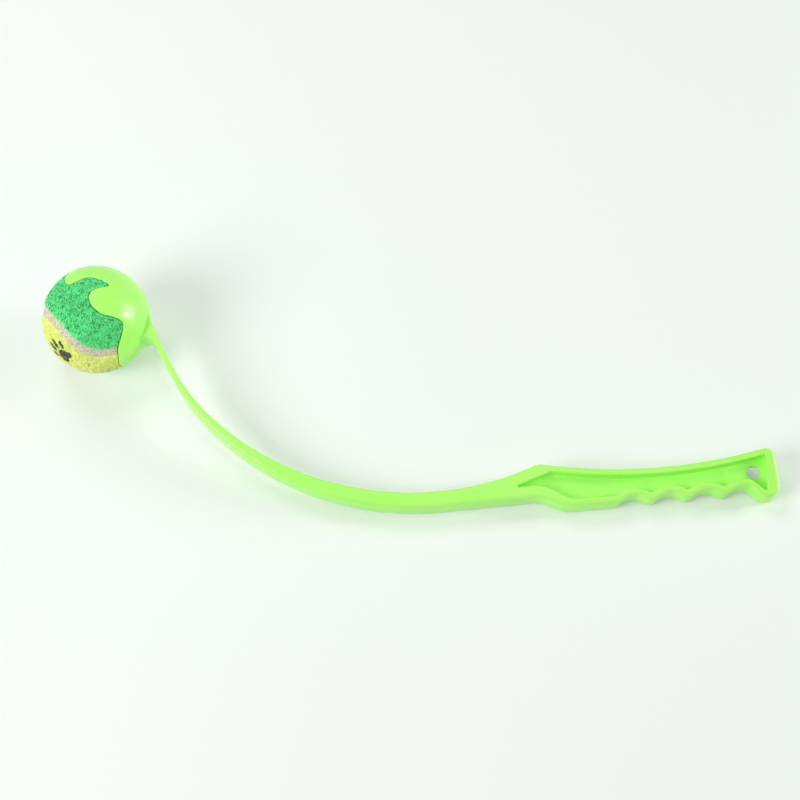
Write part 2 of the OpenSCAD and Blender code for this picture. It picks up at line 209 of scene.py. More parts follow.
# Materials
NOISE_RANGE = (0.3, 0.7)  # values between which most noise is spread
CLOUD_RANGE = (0.35, 0.65)  # values between which the clouds are spread
FIBRE_SCALE = 1500  # scale of the felt's fibres
FIBRE_DEPTH = 0.2 * MM  # depth of the felt's fibres
FIBRE_SPECKLE = (-0.16, 0.2)  # change of the felt's brightness from fibre to fibre
PATCH_SCALE = 140  # scale of the felt's worn patches
PATCH_WEAR = (-0.1, 0.1)  # change of the felt's brightness from patch to patch
FELT_ROUGHNESS = (0.8, 0.95)  # least and greatest roughness of the felt
SURFACE_SOCKETS = {  # outputs of a surface's node group, which are inputs of its shader
    "Base Color": "NodeSocketColor", "Roughness": "NodeSocketFloat", "Normal": "NodeSocketVector"}

# Stage
FLOOR_SIZE = 12
FLOOR_ROUGHNESS = 0.9
FLOOR_GLOW = 0.25  # share of the floor's own light in what the camera sees of it
WORLD_LIGHT = 0.3  # strength of the room's light
LAMP_AIM = (-0.18, 0.04, 0.03)  # place near the ball that most lamps shine at
LAMPS = {  # each lamp's place, the place that it shines at, its width, height and power in watts
    "overhead": ((-0.5, 0.6, 1.15), (-0.1, 0, 0), 0.6, 0.6, 4.8),
    "fill_lamp": ((-1.49, -0.92, 1.21), LAMP_AIM, 1, 1, 27.5),
    "right_lamp": ((2.3, 0.37, 0.56), LAMP_AIM, 1.35, 1.35, 31),
    "side_lamp": ((1.248, 0.041, 0.474), LAMP_AIM, 0.1, 0.24, 2.6),
}

# Camera of the photograph
CAMERA_AT = Vector((6.8, -596.7, 980.2)) * MM
CAMERA_LOOK = Vector((-0.0086, 0.5237, -0.8518))  # the way that it looks
CAMERA_UP = Vector((0.0042, 0.8519, 0.5237))
CAMERA_LENS = 85.5  # millimetres
CAMERA_SENSOR = 36  # millimetres


def length(name, description, millimetres):
    return bpy.props.FloatProperty(
        name=name, description=description, default=millimetres * MM, min=0, unit="LENGTH", precision=5)


def angle(name, description, degrees):
    return bpy.props.FloatProperty(
        name=name, description=description, default=math.radians(degrees), subtype="ANGLE")


def share(name, description, default):
    return bpy.props.FloatProperty(
        name=name, description=description, default=default, min=0, max=1, subtype="FACTOR")


def colour(name, description, default):
    return bpy.props.FloatVectorProperty(
        name=name, description=description, default=default, size=3, min=0, max=1, subtype="COLOR")


class LauncherStickSizes(bpy.types.PropertyGroup):
    """Sizes of the stick"""
    stick_t: length("Thickness", "Thickness of the stick across its plane", 15)
    edge_r: length("Edge rounding", "Rounding of the stick's long edges", 2.4)
    bend_r: length("Bend radius", "Radius of the stick's bend", 168.5)
    bend_turn: angle("Bend direction", "Direction from the ball's middle to the middle of the bend", 15.6)
    neck_sink: length("Neck sink", "Depth of the stick's middle line inside the cup's outside", 4.3)
    neck_w: length("Neck width", "Width of the neck, which bends when the ball is thrown", 3.2)
    shaft_w: length("Shaft width", "Width of the stick in the middle of its bend", 9.6)
    handle_l: length("Handle length", "Length from the bottom of the bend to the butt", 212.5)
    rim_w: length("Rim width", "Width of the rim round the handle's recesses", 4.2)
    web_t: length("Web", "Thickness of the web between the two recesses", 2.6)
    recess_r: length("Recess edge rounding", "Rounding of the edges of the recesses", 0.9)
    back_r: length("Back radius", "Radius of the hollow along the handle's back", 307)
    back_h: length("Back height", "Height of the hollow's lowest place over the bend's middle line", 19.1)
    groove_count: bpy.props.IntProperty(
        name="Finger grooves", description="Number of finger grooves", default=4, min=1, max=4)
    groove_pitch: length("Groove pitch", "Distance from one finger groove to the next", 21.2)
    groove_depth: length("Groove depth", "Depth of the finger grooves", 3.5)
    hang_d: length("Hanging hole", "Diameter of the hanging hole", 8)


class LauncherCupSizes(bpy.types.PropertyGroup):
    """Sizes of the cup"""
    cup_gap: length("Gap", "Gap between the pressed felt and the cup", 0.4)
    cup_wall: length("Wall", "Wall of the cup", 1.6)
    lip_r: length("Lip rounding", "Rounding of the two edges of the cup's rim", 0.7)
    mouth_turn: angle("Mouth direction", "Direction of the cup's mouth in the stick's plane", 216)
    claw_tip: angle("Claw tips", "Angle from the mouth's axis to the leading and trailing claws", 82.5)
    side_tip: angle("Side claw tips", "Angle from the mouth's axis to the two side claws", 89)
    lead_floor: angle("Leading dip", "Angle from the mouth's axis to the dip in the leading claw", 103)
    notch_from: angle("Notch start", "Side of the upper notches next to the leading claw", 62.5)
    notch_to: angle("Notch end", "Side of the upper notches next to the side claws", 86)
    notch_floor: angle("Notch floor", "Angle from the mouth's axis to the upper notches' end", 118)
    scoop_at: angle("Lower notches", "Middle of the lower notches, round the mouth's axis", 132)
    scoop_floor: angle("Lower notch floor", "Angle from the mouth's axis to the lower notches' end", 106)
    arch_r: length("Arch radius", "Radius of the arch between the trailing claw and the stick", 5.4)


class LauncherBallSizes(bpy.types.PropertyGroup):
    """Sizes of the felt ball"""
    ball_d: length("Diameter", "Diameter of the ball over its free nap", 64)
    nap_h: length("Nap height", "Height of the free nap, which the cup presses flat", 1.3)
    felt_t: length("Felt", "Thickness of the felt with its nap pressed flat", 3)
    seam_w: length("Seam width", "Width of the cement seam", 4.8)
    seam_drop: length("Seam depth", "Depth of the seam below the face of the pressed felt", 0.3)
    seam_wave: share("Seam wave", "Share of the quick wave in the seam's path", 0.25)
    tuft_h: length("Tuft height", "Height of the tufts in the felt", 0.4)
    tuft_w: length("Tuft width", "Distance from one tuft to the next", 1.8)
    strand_count: bpy.props.IntProperty(
        name="Strands", description="Number of curled strands on each felt panel", default=4400, min=0)
    strand_l: length("Strand length", "Length of a curled strand of the nap", 1.9)
    strand_r: length("Strand radius", "Radius of a curled strand", 0.36)
    strand_h: length("Strand height", "Height of a strand's crest over the felt", 0.4)


class LauncherColours(bpy.types.PropertyGroup):
    """Colours of the plastic, the felt and the stage"""
    plastic: colour("Plastic", "Lime plastic of the stick", (0.4, 0.98, 0.12))
    plastic_pale: colour("Pale plastic", "Paler clouds in the lime plastic", (0.44, 0.99, 0.155))
    # The felts run from their deep colour to their bright one by the nap value, which holds the strands' own
    # brightness and the painted shade between the strands, at their roots and along the cup's rim
    felt_green: colour("Green felt", "Bright tips of the green felt", (0.14, 1.0, 0.33))
    felt_green_deep: colour("Deep green felt", "Depths of the green felt", (0.01, 0.32, 0.07))
    felt_yellow: colour("Yellow felt", "Bright tips of the yellow felt", (0.94, 1.0, 0.27))
    felt_yellow_deep: colour("Deep yellow felt", "Depths of the yellow felt", (0.8, 0.95, 0.16))
    seam: colour("Seam", "Cement of the seam", (0.76, 0.73, 0.52))
    seam_deep: colour("Deep seam", "Pores of the seam", (0.46, 0.41, 0.29))
    ink: colour("Print", "Ink of the print on the felt", (0.012, 0.016, 0.01))
    rubber: colour("Rubber", "Rubber of the ball's core", (0.05, 0.05, 0.05))
    rubber_pale: colour("Pale rubber", "Bloom on the rubber", (0.12, 0.12, 0.115))
    floor: colour("Floor", "Pale floor", (0.905, 0.945, 0.913))


def ease(start, end, x):
    """Rises smoothly from 0 at start to 1 at end."""
    t = np.clip((x - start) / (end - start), 0, 1)
    return t * t * (3 - 2 * t)


def soft_min(a, b, soft):
    """The lesser of two heights, with the corner between them softened."""
    h = max(soft - abs(a - b), 0) / soft
    return min(a, b) - h * h * soft / 4


def polar(radius, degrees):
    return radius * np.array([math.cos(math.radians(degrees)), math.sin(math.radians(degrees))])


def unit(vectors):
    return vectors / np.linalg.norm(vectors, axis=-1, keepdims=True)


class LauncherPlan:
    """The stick's outline in its own plane, the cup's rim, and the frame that carries them to their place."""

    def __init__(self, scene):
        self.stick = scene.launcher_stick
        self.cup = scene.launcher_cup
        self.ball = scene.launcher_ball
        self.ball_r = self.ball.ball_d / 2 - self.ball.nap_h
        self.core_r = self.ball_r - self.ball.felt_t
        self.cup_in_r = self.ball_r + self.cup.cup_gap
        self.cup_out_r = self.cup_in_r + self.cup.cup_wall
        self.bend_turn = math.degrees(self.stick.bend_turn)
        self.bend_mid = polar(self.stick.bend_r + self.cup_out_r - self.stick.neck_sink, self.bend_turn)
        self.bend_low = self.bend_mid - [0, self.stick.bend_r]
        self.mouth = polar(1, math.degrees(self.cup.mouth_turn))
        self.to_world = self.stick_frame()

    def stick_frame(self):
        """Stands the stick's plane on the neck's hinge and the ball's way out, which the CAD gives."""
        normal = Vector(JOINTS["neck_flex"]["axis"]).normalized()
        mouth = Vector(JOINTS["ball_release"]["axis"]).normalized()
        turn = self.cup.mouth_turn
        x_axis = math.cos(turn) * mouth - math.sin(turn) * normal.cross(mouth)
        y_axis = normal.cross(x_axis)
        pivot_x, pivot_y = self.bend_point(PIVOT_AT, self.stick.bend_r).tolist()
        middle = Vector(JOINTS["neck_flex"]["pos_m"]) - pivot_x * x_axis - pivot_y * y_axis
        matrix = Matrix((x_axis, y_axis, normal)).transposed().to_4x4()
        matrix.translation = middle
        return matrix

    def ball_frame(self):
        turns = [Matrix.Rotation(math.radians(a), 4, axis) for a, axis in zip(BALL_TURN, "XYZ")]
        return turns[2] @ turns[1] @ turns[0]

    def bend_point(self, degrees, radius):
        return self.bend_mid + polar(radius, degrees)

    def line_r(self, degrees):
        return self.stick.bend_r - ROOT_DRAW * ease(PIVOT_AT, ROOT_AT, degrees)

    def stick_w(self, degrees):
        share_of_bend = np.clip((degrees - NECK_AT) / (FULL_AT - NECK_AT), 0, 1)
        growth = math.sin(math.pi / 2 * share_of_bend)
        return self.stick.neck_w + (self.stick.shaft_w - self.stick.neck_w) * growth

    def front_r(self, degrees):
        """Radius of the front edge, which leaves the bend and runs straight on to the handle's belly."""
        run = math.radians(max(degrees - STRAIGHT_AT, 0))
        return (self.line_r(degrees) + self.stick_w(degrees) / 2) / math.cos(run)

    def straight_line(self, u):
        turn = math.radians(STRAIGHT_AT)
        front = self.stick.bend_r + self.stick.shaft_w / 2
        return self.stick.bend_r + (front - u * math.cos(turn)) / math.sin(turn)

    def edge_at(self, degrees):
        return min(self.stick.edge_r, EDGE_SHARE * self.stick_w(degrees))

    def bend_height(self, u, radius):
        return self.stick.bend_r - math.sqrt(radius * radius - u * u)

    def back_height(self, u):
        back_r = self.stick.back_r
        return self.stick.back_h + back_r - math.sqrt(back_r * back_r - (u - BACK_AT) ** 2)

    def far_v(self, u):
        """Height of the handle's back at a distance along the handle."""
        if u > SHOULDER_END:
            return self.back_height(u)
        bend = self.bend_height(u, self.stick.bend_r - self.stick.shaft_w / 2)
        return soft_min(bend, self.back_height(u), SHOULDER_SOFT)

    def groove(self, u):
        turns = (u - self.stick.handle_l + GROOVES_LENGTH) / self.stick.groove_pitch
        if turns < 0 or turns > self.stick.groove_count:
            return 0
        wave = 1 - math.cos(2 * math.pi * turns)
        double_wave = 1 - math.cos(4 * math.pi * turns)
        return self.stick.groove_depth * (wave + GROOVE_BROAD * double_wave) / 2

    def near_v(self, u):
        """Height of the handle's front at a distance along the handle."""
        along = ease(BELLY_FROM, BELLY_END, u)
        front = GRIP_RISE * (u - BELLY_AT) - BELLY_DROP
        handle_l = self.stick.handle_l
        butt = BUTT_DROP * ease(handle_l - BUTT_FROM, handle_l - BUTT_END, u)
        return (1 - along) * self.straight_line(u) + along * front + self.groove(u) - butt

    def recess_far(self, u):
        return min(self.far_v(u) - self.stick.rim_w, TIP_V + TIP_SLOPE * (u - TIP_U))

    def recess_near(self, u):
        """Front edge of the recess, a rim's width from the handle's front at its nearest."""
        width = TIP_RIM + (self.stick.rim_w - TIP_RIM) * ease(TIP_RIM_FROM, TIP_RIM_END, u)
        shifts = np.linspace(-1, 1, RECESS_PROBES)
        return max(self.near_v(u + shift * width) + width * math.sqrt(1 - shift * shift) for shift in shifts)

    def rim_marks(self):
        """Marks along one side of the cup's rim: angles in degrees round the mouth's axis and from it."""
        cup = self.cup
        names = (
            "claw_tip", "side_tip", "lead_floor", "notch_from", "notch_to", "notch_floor",
            "scoop_at", "scoop_floor")
        claw, side, lead, start, end, floor, scoop, scoop_floor = (
            math.degrees(getattr(cup, name)) for name in names)
        return np.array([
            (0, lead),
            (14, lead - 1.6),
            (25, lead - 5.6),
            (34, claw + 9.8),
            (39, claw + 5),
            (44, claw + 1.6),
            (start - 9, claw - 0.3),
            (start - 3.2, claw + 1.2),
            (start - 1.3, claw + 3.6),
            (start - 0.5, claw + 9),
            (start + 0.2, claw + 16),
            (start + 3.2, claw + 24),
            (start + 13, floor - 4),
            (end - 5.4, floor - 1.4),
            (end - 1.5, floor + 0.4),
            (end + 1.5, floor - 1.2),
            (end + 0.6, floor - 6.2),
            (end - 1.3, floor - 13.6),
            (end - 1.3, side + 8.6),
            (end + 1.2, side + 4.4),
            (end + 5, side + 1.7),
            (SIDE_AT, side),
            (scoop - 21, side + 3.2),
            (scoop - 11.7, scoop_floor - 5.6),
            (scoop - 3.3, scoop_floor - 0.2),
            (scoop + 4.6, scoop_floor - 1.1),
            (scoop + 12.5, scoop_floor - 8.4),
            (scoop + 22, claw + 6.8),
            (scoop + 37, claw + 1.7),
            (180, claw + 0.2)])

    def rim_line(self):
        """Directions along a smooth closed line through the rim's marks, on both sides of the stick."""
        turn = [360, 0]
        one_side = self.rim_marks()
        other_side = one_side[-2:0:-1] * [-1, 1] + turn
        marks = np.concatenate([one_side, other_side])
        before = np.concatenate([marks[-1:] - turn, marks[:-1]])
        after = np.concatenate([marks[1:], marks[:1] + turn])
        later = np.concatenate([after[1:], after[:1] + turn])
        way = (np.arange(RIM_STEPS) / RIM_STEPS)[None, :, None]
        a, b, c, d = (m[:, None] for m in (before, marks, after, later))
        line = b + way / 2 * (c - a + way * (2 * a - 5 * b + 4 * c - d + way * (3 * b - a - 3 * c + d)))
        line = line.reshape(-1, 2)
        return self.aim(line[:, 1], line[:, 0])

    def seam_line(self, side, back=0, waver=0):
        """Directions along one edge of the seam, or back from it, to one side of a tennis-ball curve."""
        slow = 1 - self.ball.seam_wave
        quick = self.ball.seam_wave
        turn = np.linspace(0, 2 * math.pi, SEAM_SAMPLES, endpoint=False)
        middle = unit(np.stack([
            slow * np.cos(turn) + quick * np.cos(3 * turn),
            slow * np.sin(turn) - quick * np.sin(3 * turn),
            2 * math.sqrt(slow * quick) * np.sin(2 * turn)], axis=1))
        along = unit(np.roll(middle, -1, axis=0) - np.roll(middle, 1, axis=0))
        across = np.cross(middle, along)
        stand_back = back + waver * np.cos(EDGE_WAVES * (turn - EDGE_WAVE_AT))
        half = ((self.ball.seam_w / 2 + stand_back) / self.ball_r)[:, None]
        turned = np.array(self.ball_frame().to_3x3())
        return (np.cos(half) * middle + side * np.sin(half) * across) @ turned.T

    def aim(self, from_mouth, around):
        """Directions on the cup, from angles in degrees off the mouth's axis and round it."""
        from_mouth, around = np.radians(from_mouth), np.radians(around)
        mouth = np.array([*self.mouth, 0])
        lead = np.array([self.mouth[1], -self.mouth[0], 0])
        side = np.cos(around)[..., None] * lead + np.sin(around)[..., None] * np.array([0, 0, 1])
        return np.cos(from_mouth)[..., None] * mouth + np.sin(from_mouth)[..., None] * side


def rim_border(plan):
    """The cup's rim, with the cup on its inside."""
    return Border(plan.rim_line(), -np.array([*plan.mouth, 0]))


def panel_border(plan, node_name):
    """The edge of a felt panel, which stands back from the seam's edge, with the panel on its inside."""
    side, back, waver = PANEL_EDGES[node_name]
    line = plan.seam_line(side, back, waver)
    return Border(line, line[0] - plan.seam_line(-side)[0])


class Border:
    """Closed line of directions on a ball, and the side of it that a piece lies on."""

    def __init__(self, line, inside):
        self.line = line
        along = np.roll(line, -1, axis=0) - np.roll(line, 1, axis=0)
        self.inward = unit(np.cross(line, along))
        if self.inward[0] @ inside < 0:
            self.inward = -self.inward
        self.tree = kdtree.KDTree(len(line))
        for i, point in enumerate(line):
            self.tree.insert(point, i)
        self.tree.balance()

    def nearest(self, directions):
        return np.array([self.tree.find(direction)[1] for direction in directions], int)

    def depth(self, directions):
        """Distances in from the line on a ball of radius 1, below 0 outside it."""
        index = self.nearest(directions)
        gap = directions - self.line[index]
        return np.linalg.norm(gap, axis=1) * np.sign(np.sum(gap * self.inward[index], axis=1))

    def inset(self, directions, depth):
        """The nearest directions that lie at a depth inside the line."""
        index = self.nearest(directions)
        return unit(self.line[index] + math.tan(depth) * self.inward[index])


def deselect_all():
    if bpy.context.object and bpy.context.object.mode != "OBJECT":
        bpy.ops.object.mode_set(mode="OBJECT")
    bpy.ops.object.select_all(action="DESELECT")


def make_active(obj):
    deselect_all()
    obj.select_set(True)
    bpy.context.view_layer.objects.active = obj


def read_all(items, name, width=1, kind=float):
    """One property of every vertex, edge or face as an array, with a row for each where it has a width."""
    flat = np.empty(len(items) * width, kind)
    items.foreach_get(name, flat)
    return flat if width == 1 else flat.reshape(-1, width)


def coordinates(mesh):
    return read_all(mesh.vertices, "co", 3)


def face_normals(mesh):
    return read_all(mesh.polygons, "normal", 3)


def edge_ends(mesh):
    return read_all(mesh.edges, "vertices", 2, int)


def values_of(mesh, name, kind=float):
    return read_all(mesh.attributes[name].data, "value", kind=kind)


def set_values(mesh, name, domain, values, kind="FLOAT"):
    attribute = mesh.attributes.get(name) or mesh.attributes.new(name, kind, domain)
    attribute.data.foreach_set("value", np.asarray(values))


def set_coordinates(mesh, points):
    mesh.vertices.foreach_set("co", np.ascontiguousarray(points, dtype=float).ravel())
    mesh.update()


def name_active(name):
    obj = bpy.context.object
    obj.name = name
    obj.data.name = name
    return obj


def add_object(name, data):
    obj = bpy.data.objects.new(name, data)
    bpy.context.scene.collection.objects.link(obj)
    return obj


def add_grid(name, columns, rows):
    """Adds a grid and returns it with the column and row of each of its vertices."""
    deselect_all()
    bpy.ops.mesh.primitive_grid_add(x_subdivisions=columns, y_subdivisions=rows, size=1)
    obj = name_active(name)
    points = coordinates(obj.data)
    column = np.rint((points[:, 0] + 0.5) * columns).astype(int)
    row = np.rint((points[:, 1] + 0.5) * rows).astype(int)
    return obj, column, row


def edit_selected(obj, kind, chosen):
    """Goes into edit mode with only the chosen vertices, edges or faces selected."""
    make_active(obj)
    bpy.context.tool_settings.mesh_select_mode = [kind == "VERT", kind == "EDGE", kind == "FACE"]
    mesh = obj.data
    lists = {"VERT": mesh.vertices, "EDGE": mesh.edges, "FACE": mesh.polygons}
    for name, items in lists.items():
        flags = chosen if name == kind else np.zeros(len(items), bool)
        items.foreach_set("select", np.asarray(flags, bool))
    bpy.ops.object.mode_set(mode="EDIT")


def leave_edit():
    bpy.ops.object.mode_set(mode="OBJECT")


def apply_modifier(obj, name, kind, **settings):
    make_active(obj)
    modifier = obj.modifiers.new(name, kind)
    for setting, value in settings.items():
        setattr(modifier, setting, value)
    bpy.ops.object.modifier_apply(modifier=modifier.name)


def every_face(obj):
    return np.ones(len(obj.data.polygons), bool)


def extrude(obj, kind, chosen, rise=0):
    """Extrudes the chosen edges or faces, by a distance along Z."""
    edit_selected(obj, kind, chosen)
    bpy.ops.mesh.extrude_region_move(TRANSFORM_OT_translate={"value": (0, 0, rise)})
    leave_edit()


def face_outward(obj, join=0):
    """Turns all faces outward, after joining the points that lie within a gap of each other."""
    edit_selected(obj, "FACE", every_face(obj))
    if join:
        bpy.ops.mesh.remove_doubles(threshold=join)
    bpy.ops.mesh.normals_make_consistent(inside=False)
    leave_edit()


def shade_smooth(obj):
    """Shades a piece smoothly, apart from its sharp corners."""
    make_active(obj)
    bpy.ops.object.shade_smooth_by_angle(angle=math.radians(SHARP_CORNER))


def root_sections(plan):
    """Pairs of near and far points from inside the cup's wall to the neck, with the near edges' rounding."""
    foot_r = plan.cup_in_r + ROOT_FOOT * plan.cup.cup_wall
    sunk_r = plan.cup_in_r + ROOT_SUNK * plan.cup.cup_wall
    arch_r = plan.cup.arch_r
    near_r = plan.line_r(ROOT_AT) + plan.stick_w(ROOT_AT) / 2
    far_r = plan.line_r(ROOT_AT) - plan.stick_w(ROOT_AT) / 2
    mid_gap = np.linalg.norm(plan.bend_mid)
    arch_gap = foot_r + arch_r
    near_gap = near_r + arch_r
    corner = (arch_gap ** 2 + mid_gap ** 2 - near_gap ** 2) / (2 * arch_gap * mid_gap)
    arch_turn = plan.bend_turn - math.degrees(math.acos(corner))
    arch_mid = polar(arch_gap, arch_turn)
    to_bend = plan.bend_mid - arch_mid
    bend_side = math.degrees(math.atan2(to_bend[1], to_bend[0]))
    ways = np.linspace(0, 1, CORNER_STEPS + 1)
    near = [plan.bend_point(ROOT_AT + (bend_side - 180 - ROOT_AT) * t, near_r) for t in ways[1:]]
    arch = [arch_mid + polar(arch_r, bend_side + (arch_turn + 180 - bend_side) * t) for t in ways[1:]]
    sunk = [polar(sunk_r, arch_turn + (ROOT_TOP_AT - arch_turn) * t) for t in ways]
    left = near + arch + sunk
    far_root = plan.bend_point(ROOT_AT, far_r)
    far_way = np.array([math.sin(math.radians(ROOT_AT)), -math.cos(math.radians(ROOT_AT))])
    top = polar(foot_r, ROOT_TOP_AT)
    top_way = polar(1, ROOT_TOP_AT + 90)
    gap = top - far_root
    reach = (gap[0] * top_way[1] - gap[1] * top_way[0]) / (far_way[0] * top_way[1] - far_way[1] * top_way[0])
    knee = far_root + reach * far_way
    full_r = plan.edge_at(ROOT_AT)
    sections = []
    for i, near_point in enumerate(left):
        t = (i + 1) / len(left)
        far_point = (1 - t) ** 2 * far_root + 2 * t * (1 - t) * knee + t * t * top
        near_edge_r = full_r * (1 - ease(CORNER_STEPS, 2 * CORNER_STEPS, i + 1))
        sections.append((near_point, far_point, near_edge_r, full_r, None))
    return sections[::-1]


def shaft_sections(plan):
    """Pairs of near and far points along the neck and the bend."""
    sections = []
    for degrees in np.arange(ROOT_AT, GRIP_AT):
        half = plan.stick_w(degrees) / 2
        near_point = plan.bend_point(degrees, plan.front_r(degrees))
        far_point = plan.bend_point(degrees, plan.line_r(degrees) - half)
        edge_r = plan.edge_at(degrees)
        sections.append((near_point, far_point, edge_r, edge_r, None))
    return sections


def handle_sections(plan):
    """Pairs of near and far points along the handle, with the recess's two edges where it has them."""
    stick = plan.stick
    edge_r = stick.edge_r
    reach = math.cos(math.radians(GRIP_AT))
    near_start = plan.front_r(GRIP_AT) * reach
    far_start = (stick.bend_r - stick.shaft_w / 2) * reach
    near_end = stick.handle_l - BUTT_LOW_R
    far_end = stick.handle_l - BUTT_TOP_R - BUTT_INSET
    recess_end = stick.handle_l - BUTT_END
    before = round((TIP_U - near_start) / RUNG_STEP)
    after = round((near_end - TIP_U) / RUNG_STEP)
    stops = [(t, None) for t in np.linspace(near_start, TIP_U, before, endpoint=False)]
    stops += list(zip(np.linspace(TIP_U, near_end, after + 1), np.linspace(TIP_U, recess_end, after + 1)))
    sections = []
    for u, recess_u in stops:
        far_u = far_start + (far_end - far_start) * (u - near_start) / (near_end - near_start)
        near_point = plan.bend_low + [u, plan.near_v(u)]
        far_point = plan.bend_low + [far_u, plan.far_v(far_u)]
        inner = None
        if recess_u is not None:
            inner = [plan.bend_low + [recess_u, f(recess_u)] for f in (plan.recess_near, plan.recess_far)]
        sections.append((near_point, far_point, edge_r, edge_r, inner))
    return sections


def butt_sections(plan):
    """Pairs of near and far points round the two corners of the butt."""
    stick = plan.stick
    low_u = stick.handle_l - BUTT_LOW_R
    top_u = stick.handle_l - BUTT_TOP_R - BUTT_INSET
    low_slope = math.degrees(math.atan((plan.near_v(low_u + MM) - plan.near_v(low_u - MM)) / (2 * MM)))
    top_slope = math.degrees(math.atan((plan.far_v(top_u + MM) - plan.far_v(top_u - MM)) / (2 * MM)))
    low_mid = plan.bend_low + [low_u, plan.near_v(low_u)] + polar(BUTT_LOW_R, low_slope + 90)
    top_mid = plan.bend_low + [top_u, plan.far_v(top_u)] + polar(BUTT_TOP_R, top_slope - 90)
    sections = []
    for t in np.linspace(0, 1, CORNER_STEPS + 1)[1:]:
        near_point = low_mid + polar(BUTT_LOW_R, low_slope - 90 + (BUTT_LEAN + 90 - low_slope) * t)
        far_point = top_mid + polar(BUTT_TOP_R, top_slope + 90 + (BUTT_LEAN - 90 - top_slope) * t)
        sections.append((near_point, far_point, stick.edge_r, stick.edge_r, None))
    return sections


def stick_blank(plan):
    """Lays a ladder of faces along the stick, with three faces a rung where the handle has its recess."""
    sections = root_sections(plan) + shaft_sections(plan)
    sections += handle_sections(plan) + butt_sections(plan)
    recessed = [i for i, section in enumerate(sections) if section[-1]]
    first, last = recessed[0], recessed[-1]
    obj, rung, lane = add_grid("launcher_moulding", len(sections) - 1, 3)
    points = np.zeros((len(rung), 3))
    rounding = np.zeros(len(rung))
    for k, (i, j) in enumerate(zip(rung, lane)):
        near_point, far_point, near_r, far_r, recess = sections[i]
        if recess and j in (1, 2):
            flat = recess[j - 1]
            rounding[k] = plan.stick.recess_r
        else:
            flat = near_point + (far_point - near_point) * j / 3
            rounding[k] = near_r if j == 0 else far_r
        points[k] = (*flat, -plan.stick.stick_t / 2)
    mesh = obj.data
    set_coordinates(mesh, points)
    set_values(mesh, "rounding", "POINT", rounding)
    inner = (lane == 1) | (lane == 2)
    ends = edge_ends(mesh)
    low_rung = rung[ends].min(axis=1)
    high_rung = rung[ends].max(axis=1)
    along = low_rung < high_rung
    outside_recess = (high_rung <= first) | (low_rung >= last)
    lengthwise = along & inner[ends].all(axis=1) & outside_recess
    crosswise = ~along & (low_rung > last) & (low_rung < len(sections) - 1)
    in_recess = []
    for face in mesh.polygons:
        corners = list(face.vertices)
        within = rung[corners].min() >= first and rung[corners].max() <= last
        in_recess.append(int(within and inner[corners].all()))
    set_values(mesh, "recess", "FACE", in_recess, "INT")
    set_values(mesh, "spare", "POINT", inner & ((rung < first) | (rung > last)))
    edit_selected(obj, "EDGE", lengthwise | crosswise)
    bpy.ops.mesh.dissolve_edges(use_verts=False)
    leave_edit()
    edit_selected(obj, "VERT", values_of(mesh, "spare") > 0)
    bpy.ops.mesh.dissolve_verts()
    leave_edit()
    return obj


def thicken_stick(plan, obj):
    """Gives the ladder its thickness, and sinks a recess into each face of the handle."""
    thick = plan.stick.stick_t
    extrude(obj, "FACE", every_face(obj), thick)
    face_outward(obj)
    depth = (thick - plan.stick.web_t) / 2
    for side in (1, -1):
        facing = face_normals(obj.data)[:, 2] * side > LEVEL
        extrude(obj, "FACE", facing & (values_of(obj.data, "recess", int) > 0), -side * depth)


def round_stick_edges(plan, obj):
    """Rounds every edge between a flat face and a wall, by the rounding kept at its ends."""
    mesh = obj.data
    flat = np.abs(face_normals(mesh)[:, 2]) > LEVEL
    edge_of = {}
    for face in mesh.polygons:
        for key in face.edge_keys:
            edge_of.setdefault(key, []).append(flat[face.index])
    rounding = values_of(mesh, "rounding")
    weights = np.zeros(len(mesh.edges))
    for edge in mesh.edges:
        kinds = edge_of.get(edge.key, [])
        if len(kinds) == 2 and kinds[0] != kinds[1]:
            weights[edge.index] = rounding[list(edge.vertices)].mean() / plan.stick.edge_r
    set_values(mesh, "bevel_weight_edge", "EDGE", weights)
    apply_modifier(
        obj, "Rounded edges", "BEVEL", limit_method="WEIGHT", width=plan.stick.edge_r, segments=EDGE_SEGMENTS,
        offset_type="OFFSET", use_clamp_overlap=False, loop_slide=True)


def cut_round(obj, name, sides, radius, depth, place):
    """Cuts a round hollow, square to the stick's plane."""
    deselect_all()
    bpy.ops.mesh.primitive_cylinder_add(vertices=sides, radius=radius, depth=depth, location=place)
    cutter = bpy.context.object
    apply_modifier(obj, name, "BOOLEAN", operation="DIFFERENCE", solver="EXACT", object=cutter)
    bpy.data.objects.remove(cutter)


def drill_hanging_hole(plan, obj):
    """Drills the hanging hole through the handle, and rounds its edges."""
    stick = plan.stick
    radius = stick.hang_d / 2
    place = plan.bend_low + [stick.handle_l - HANG_BACK, HANG_UP]
    cut_round(obj, "Hanging hole", HOLE_SIDES, radius, 2 * stick.stick_t, (*place, 0))
    points = coordinates(obj.data)
    ends = edge_ends(obj.data)
    on_wall = np.abs(np.linalg.norm(points[:, :2] - place, axis=1) - radius) < HOLE_NEAR
    level = np.abs(np.diff(points[ends][:, :, 2], axis=1)[:, 0]) < HOLE_NEAR
    edit_selected(obj, "EDGE", on_wall[ends].all(axis=1) & level)
    bpy.ops.mesh.bevel(offset=HOLE_EDGE_R, segments=HOLE_SEGMENTS, affect="EDGES")
    leave_edit()


def press_pin_marks(plan, obj):
    """Presses the shallow round marks of the mould's pins into the handle's upper recess."""
    for u, v in PIN_MARKS:
        place = (*(plan.bend_low + [u * MM, v * MM]), plan.stick.web_t / 2)
        cut_round(obj, "Pin mark", PIN_MARK_SIDES, PIN_MARK_R, 2 * PIN_MARK_DEPTH, place)


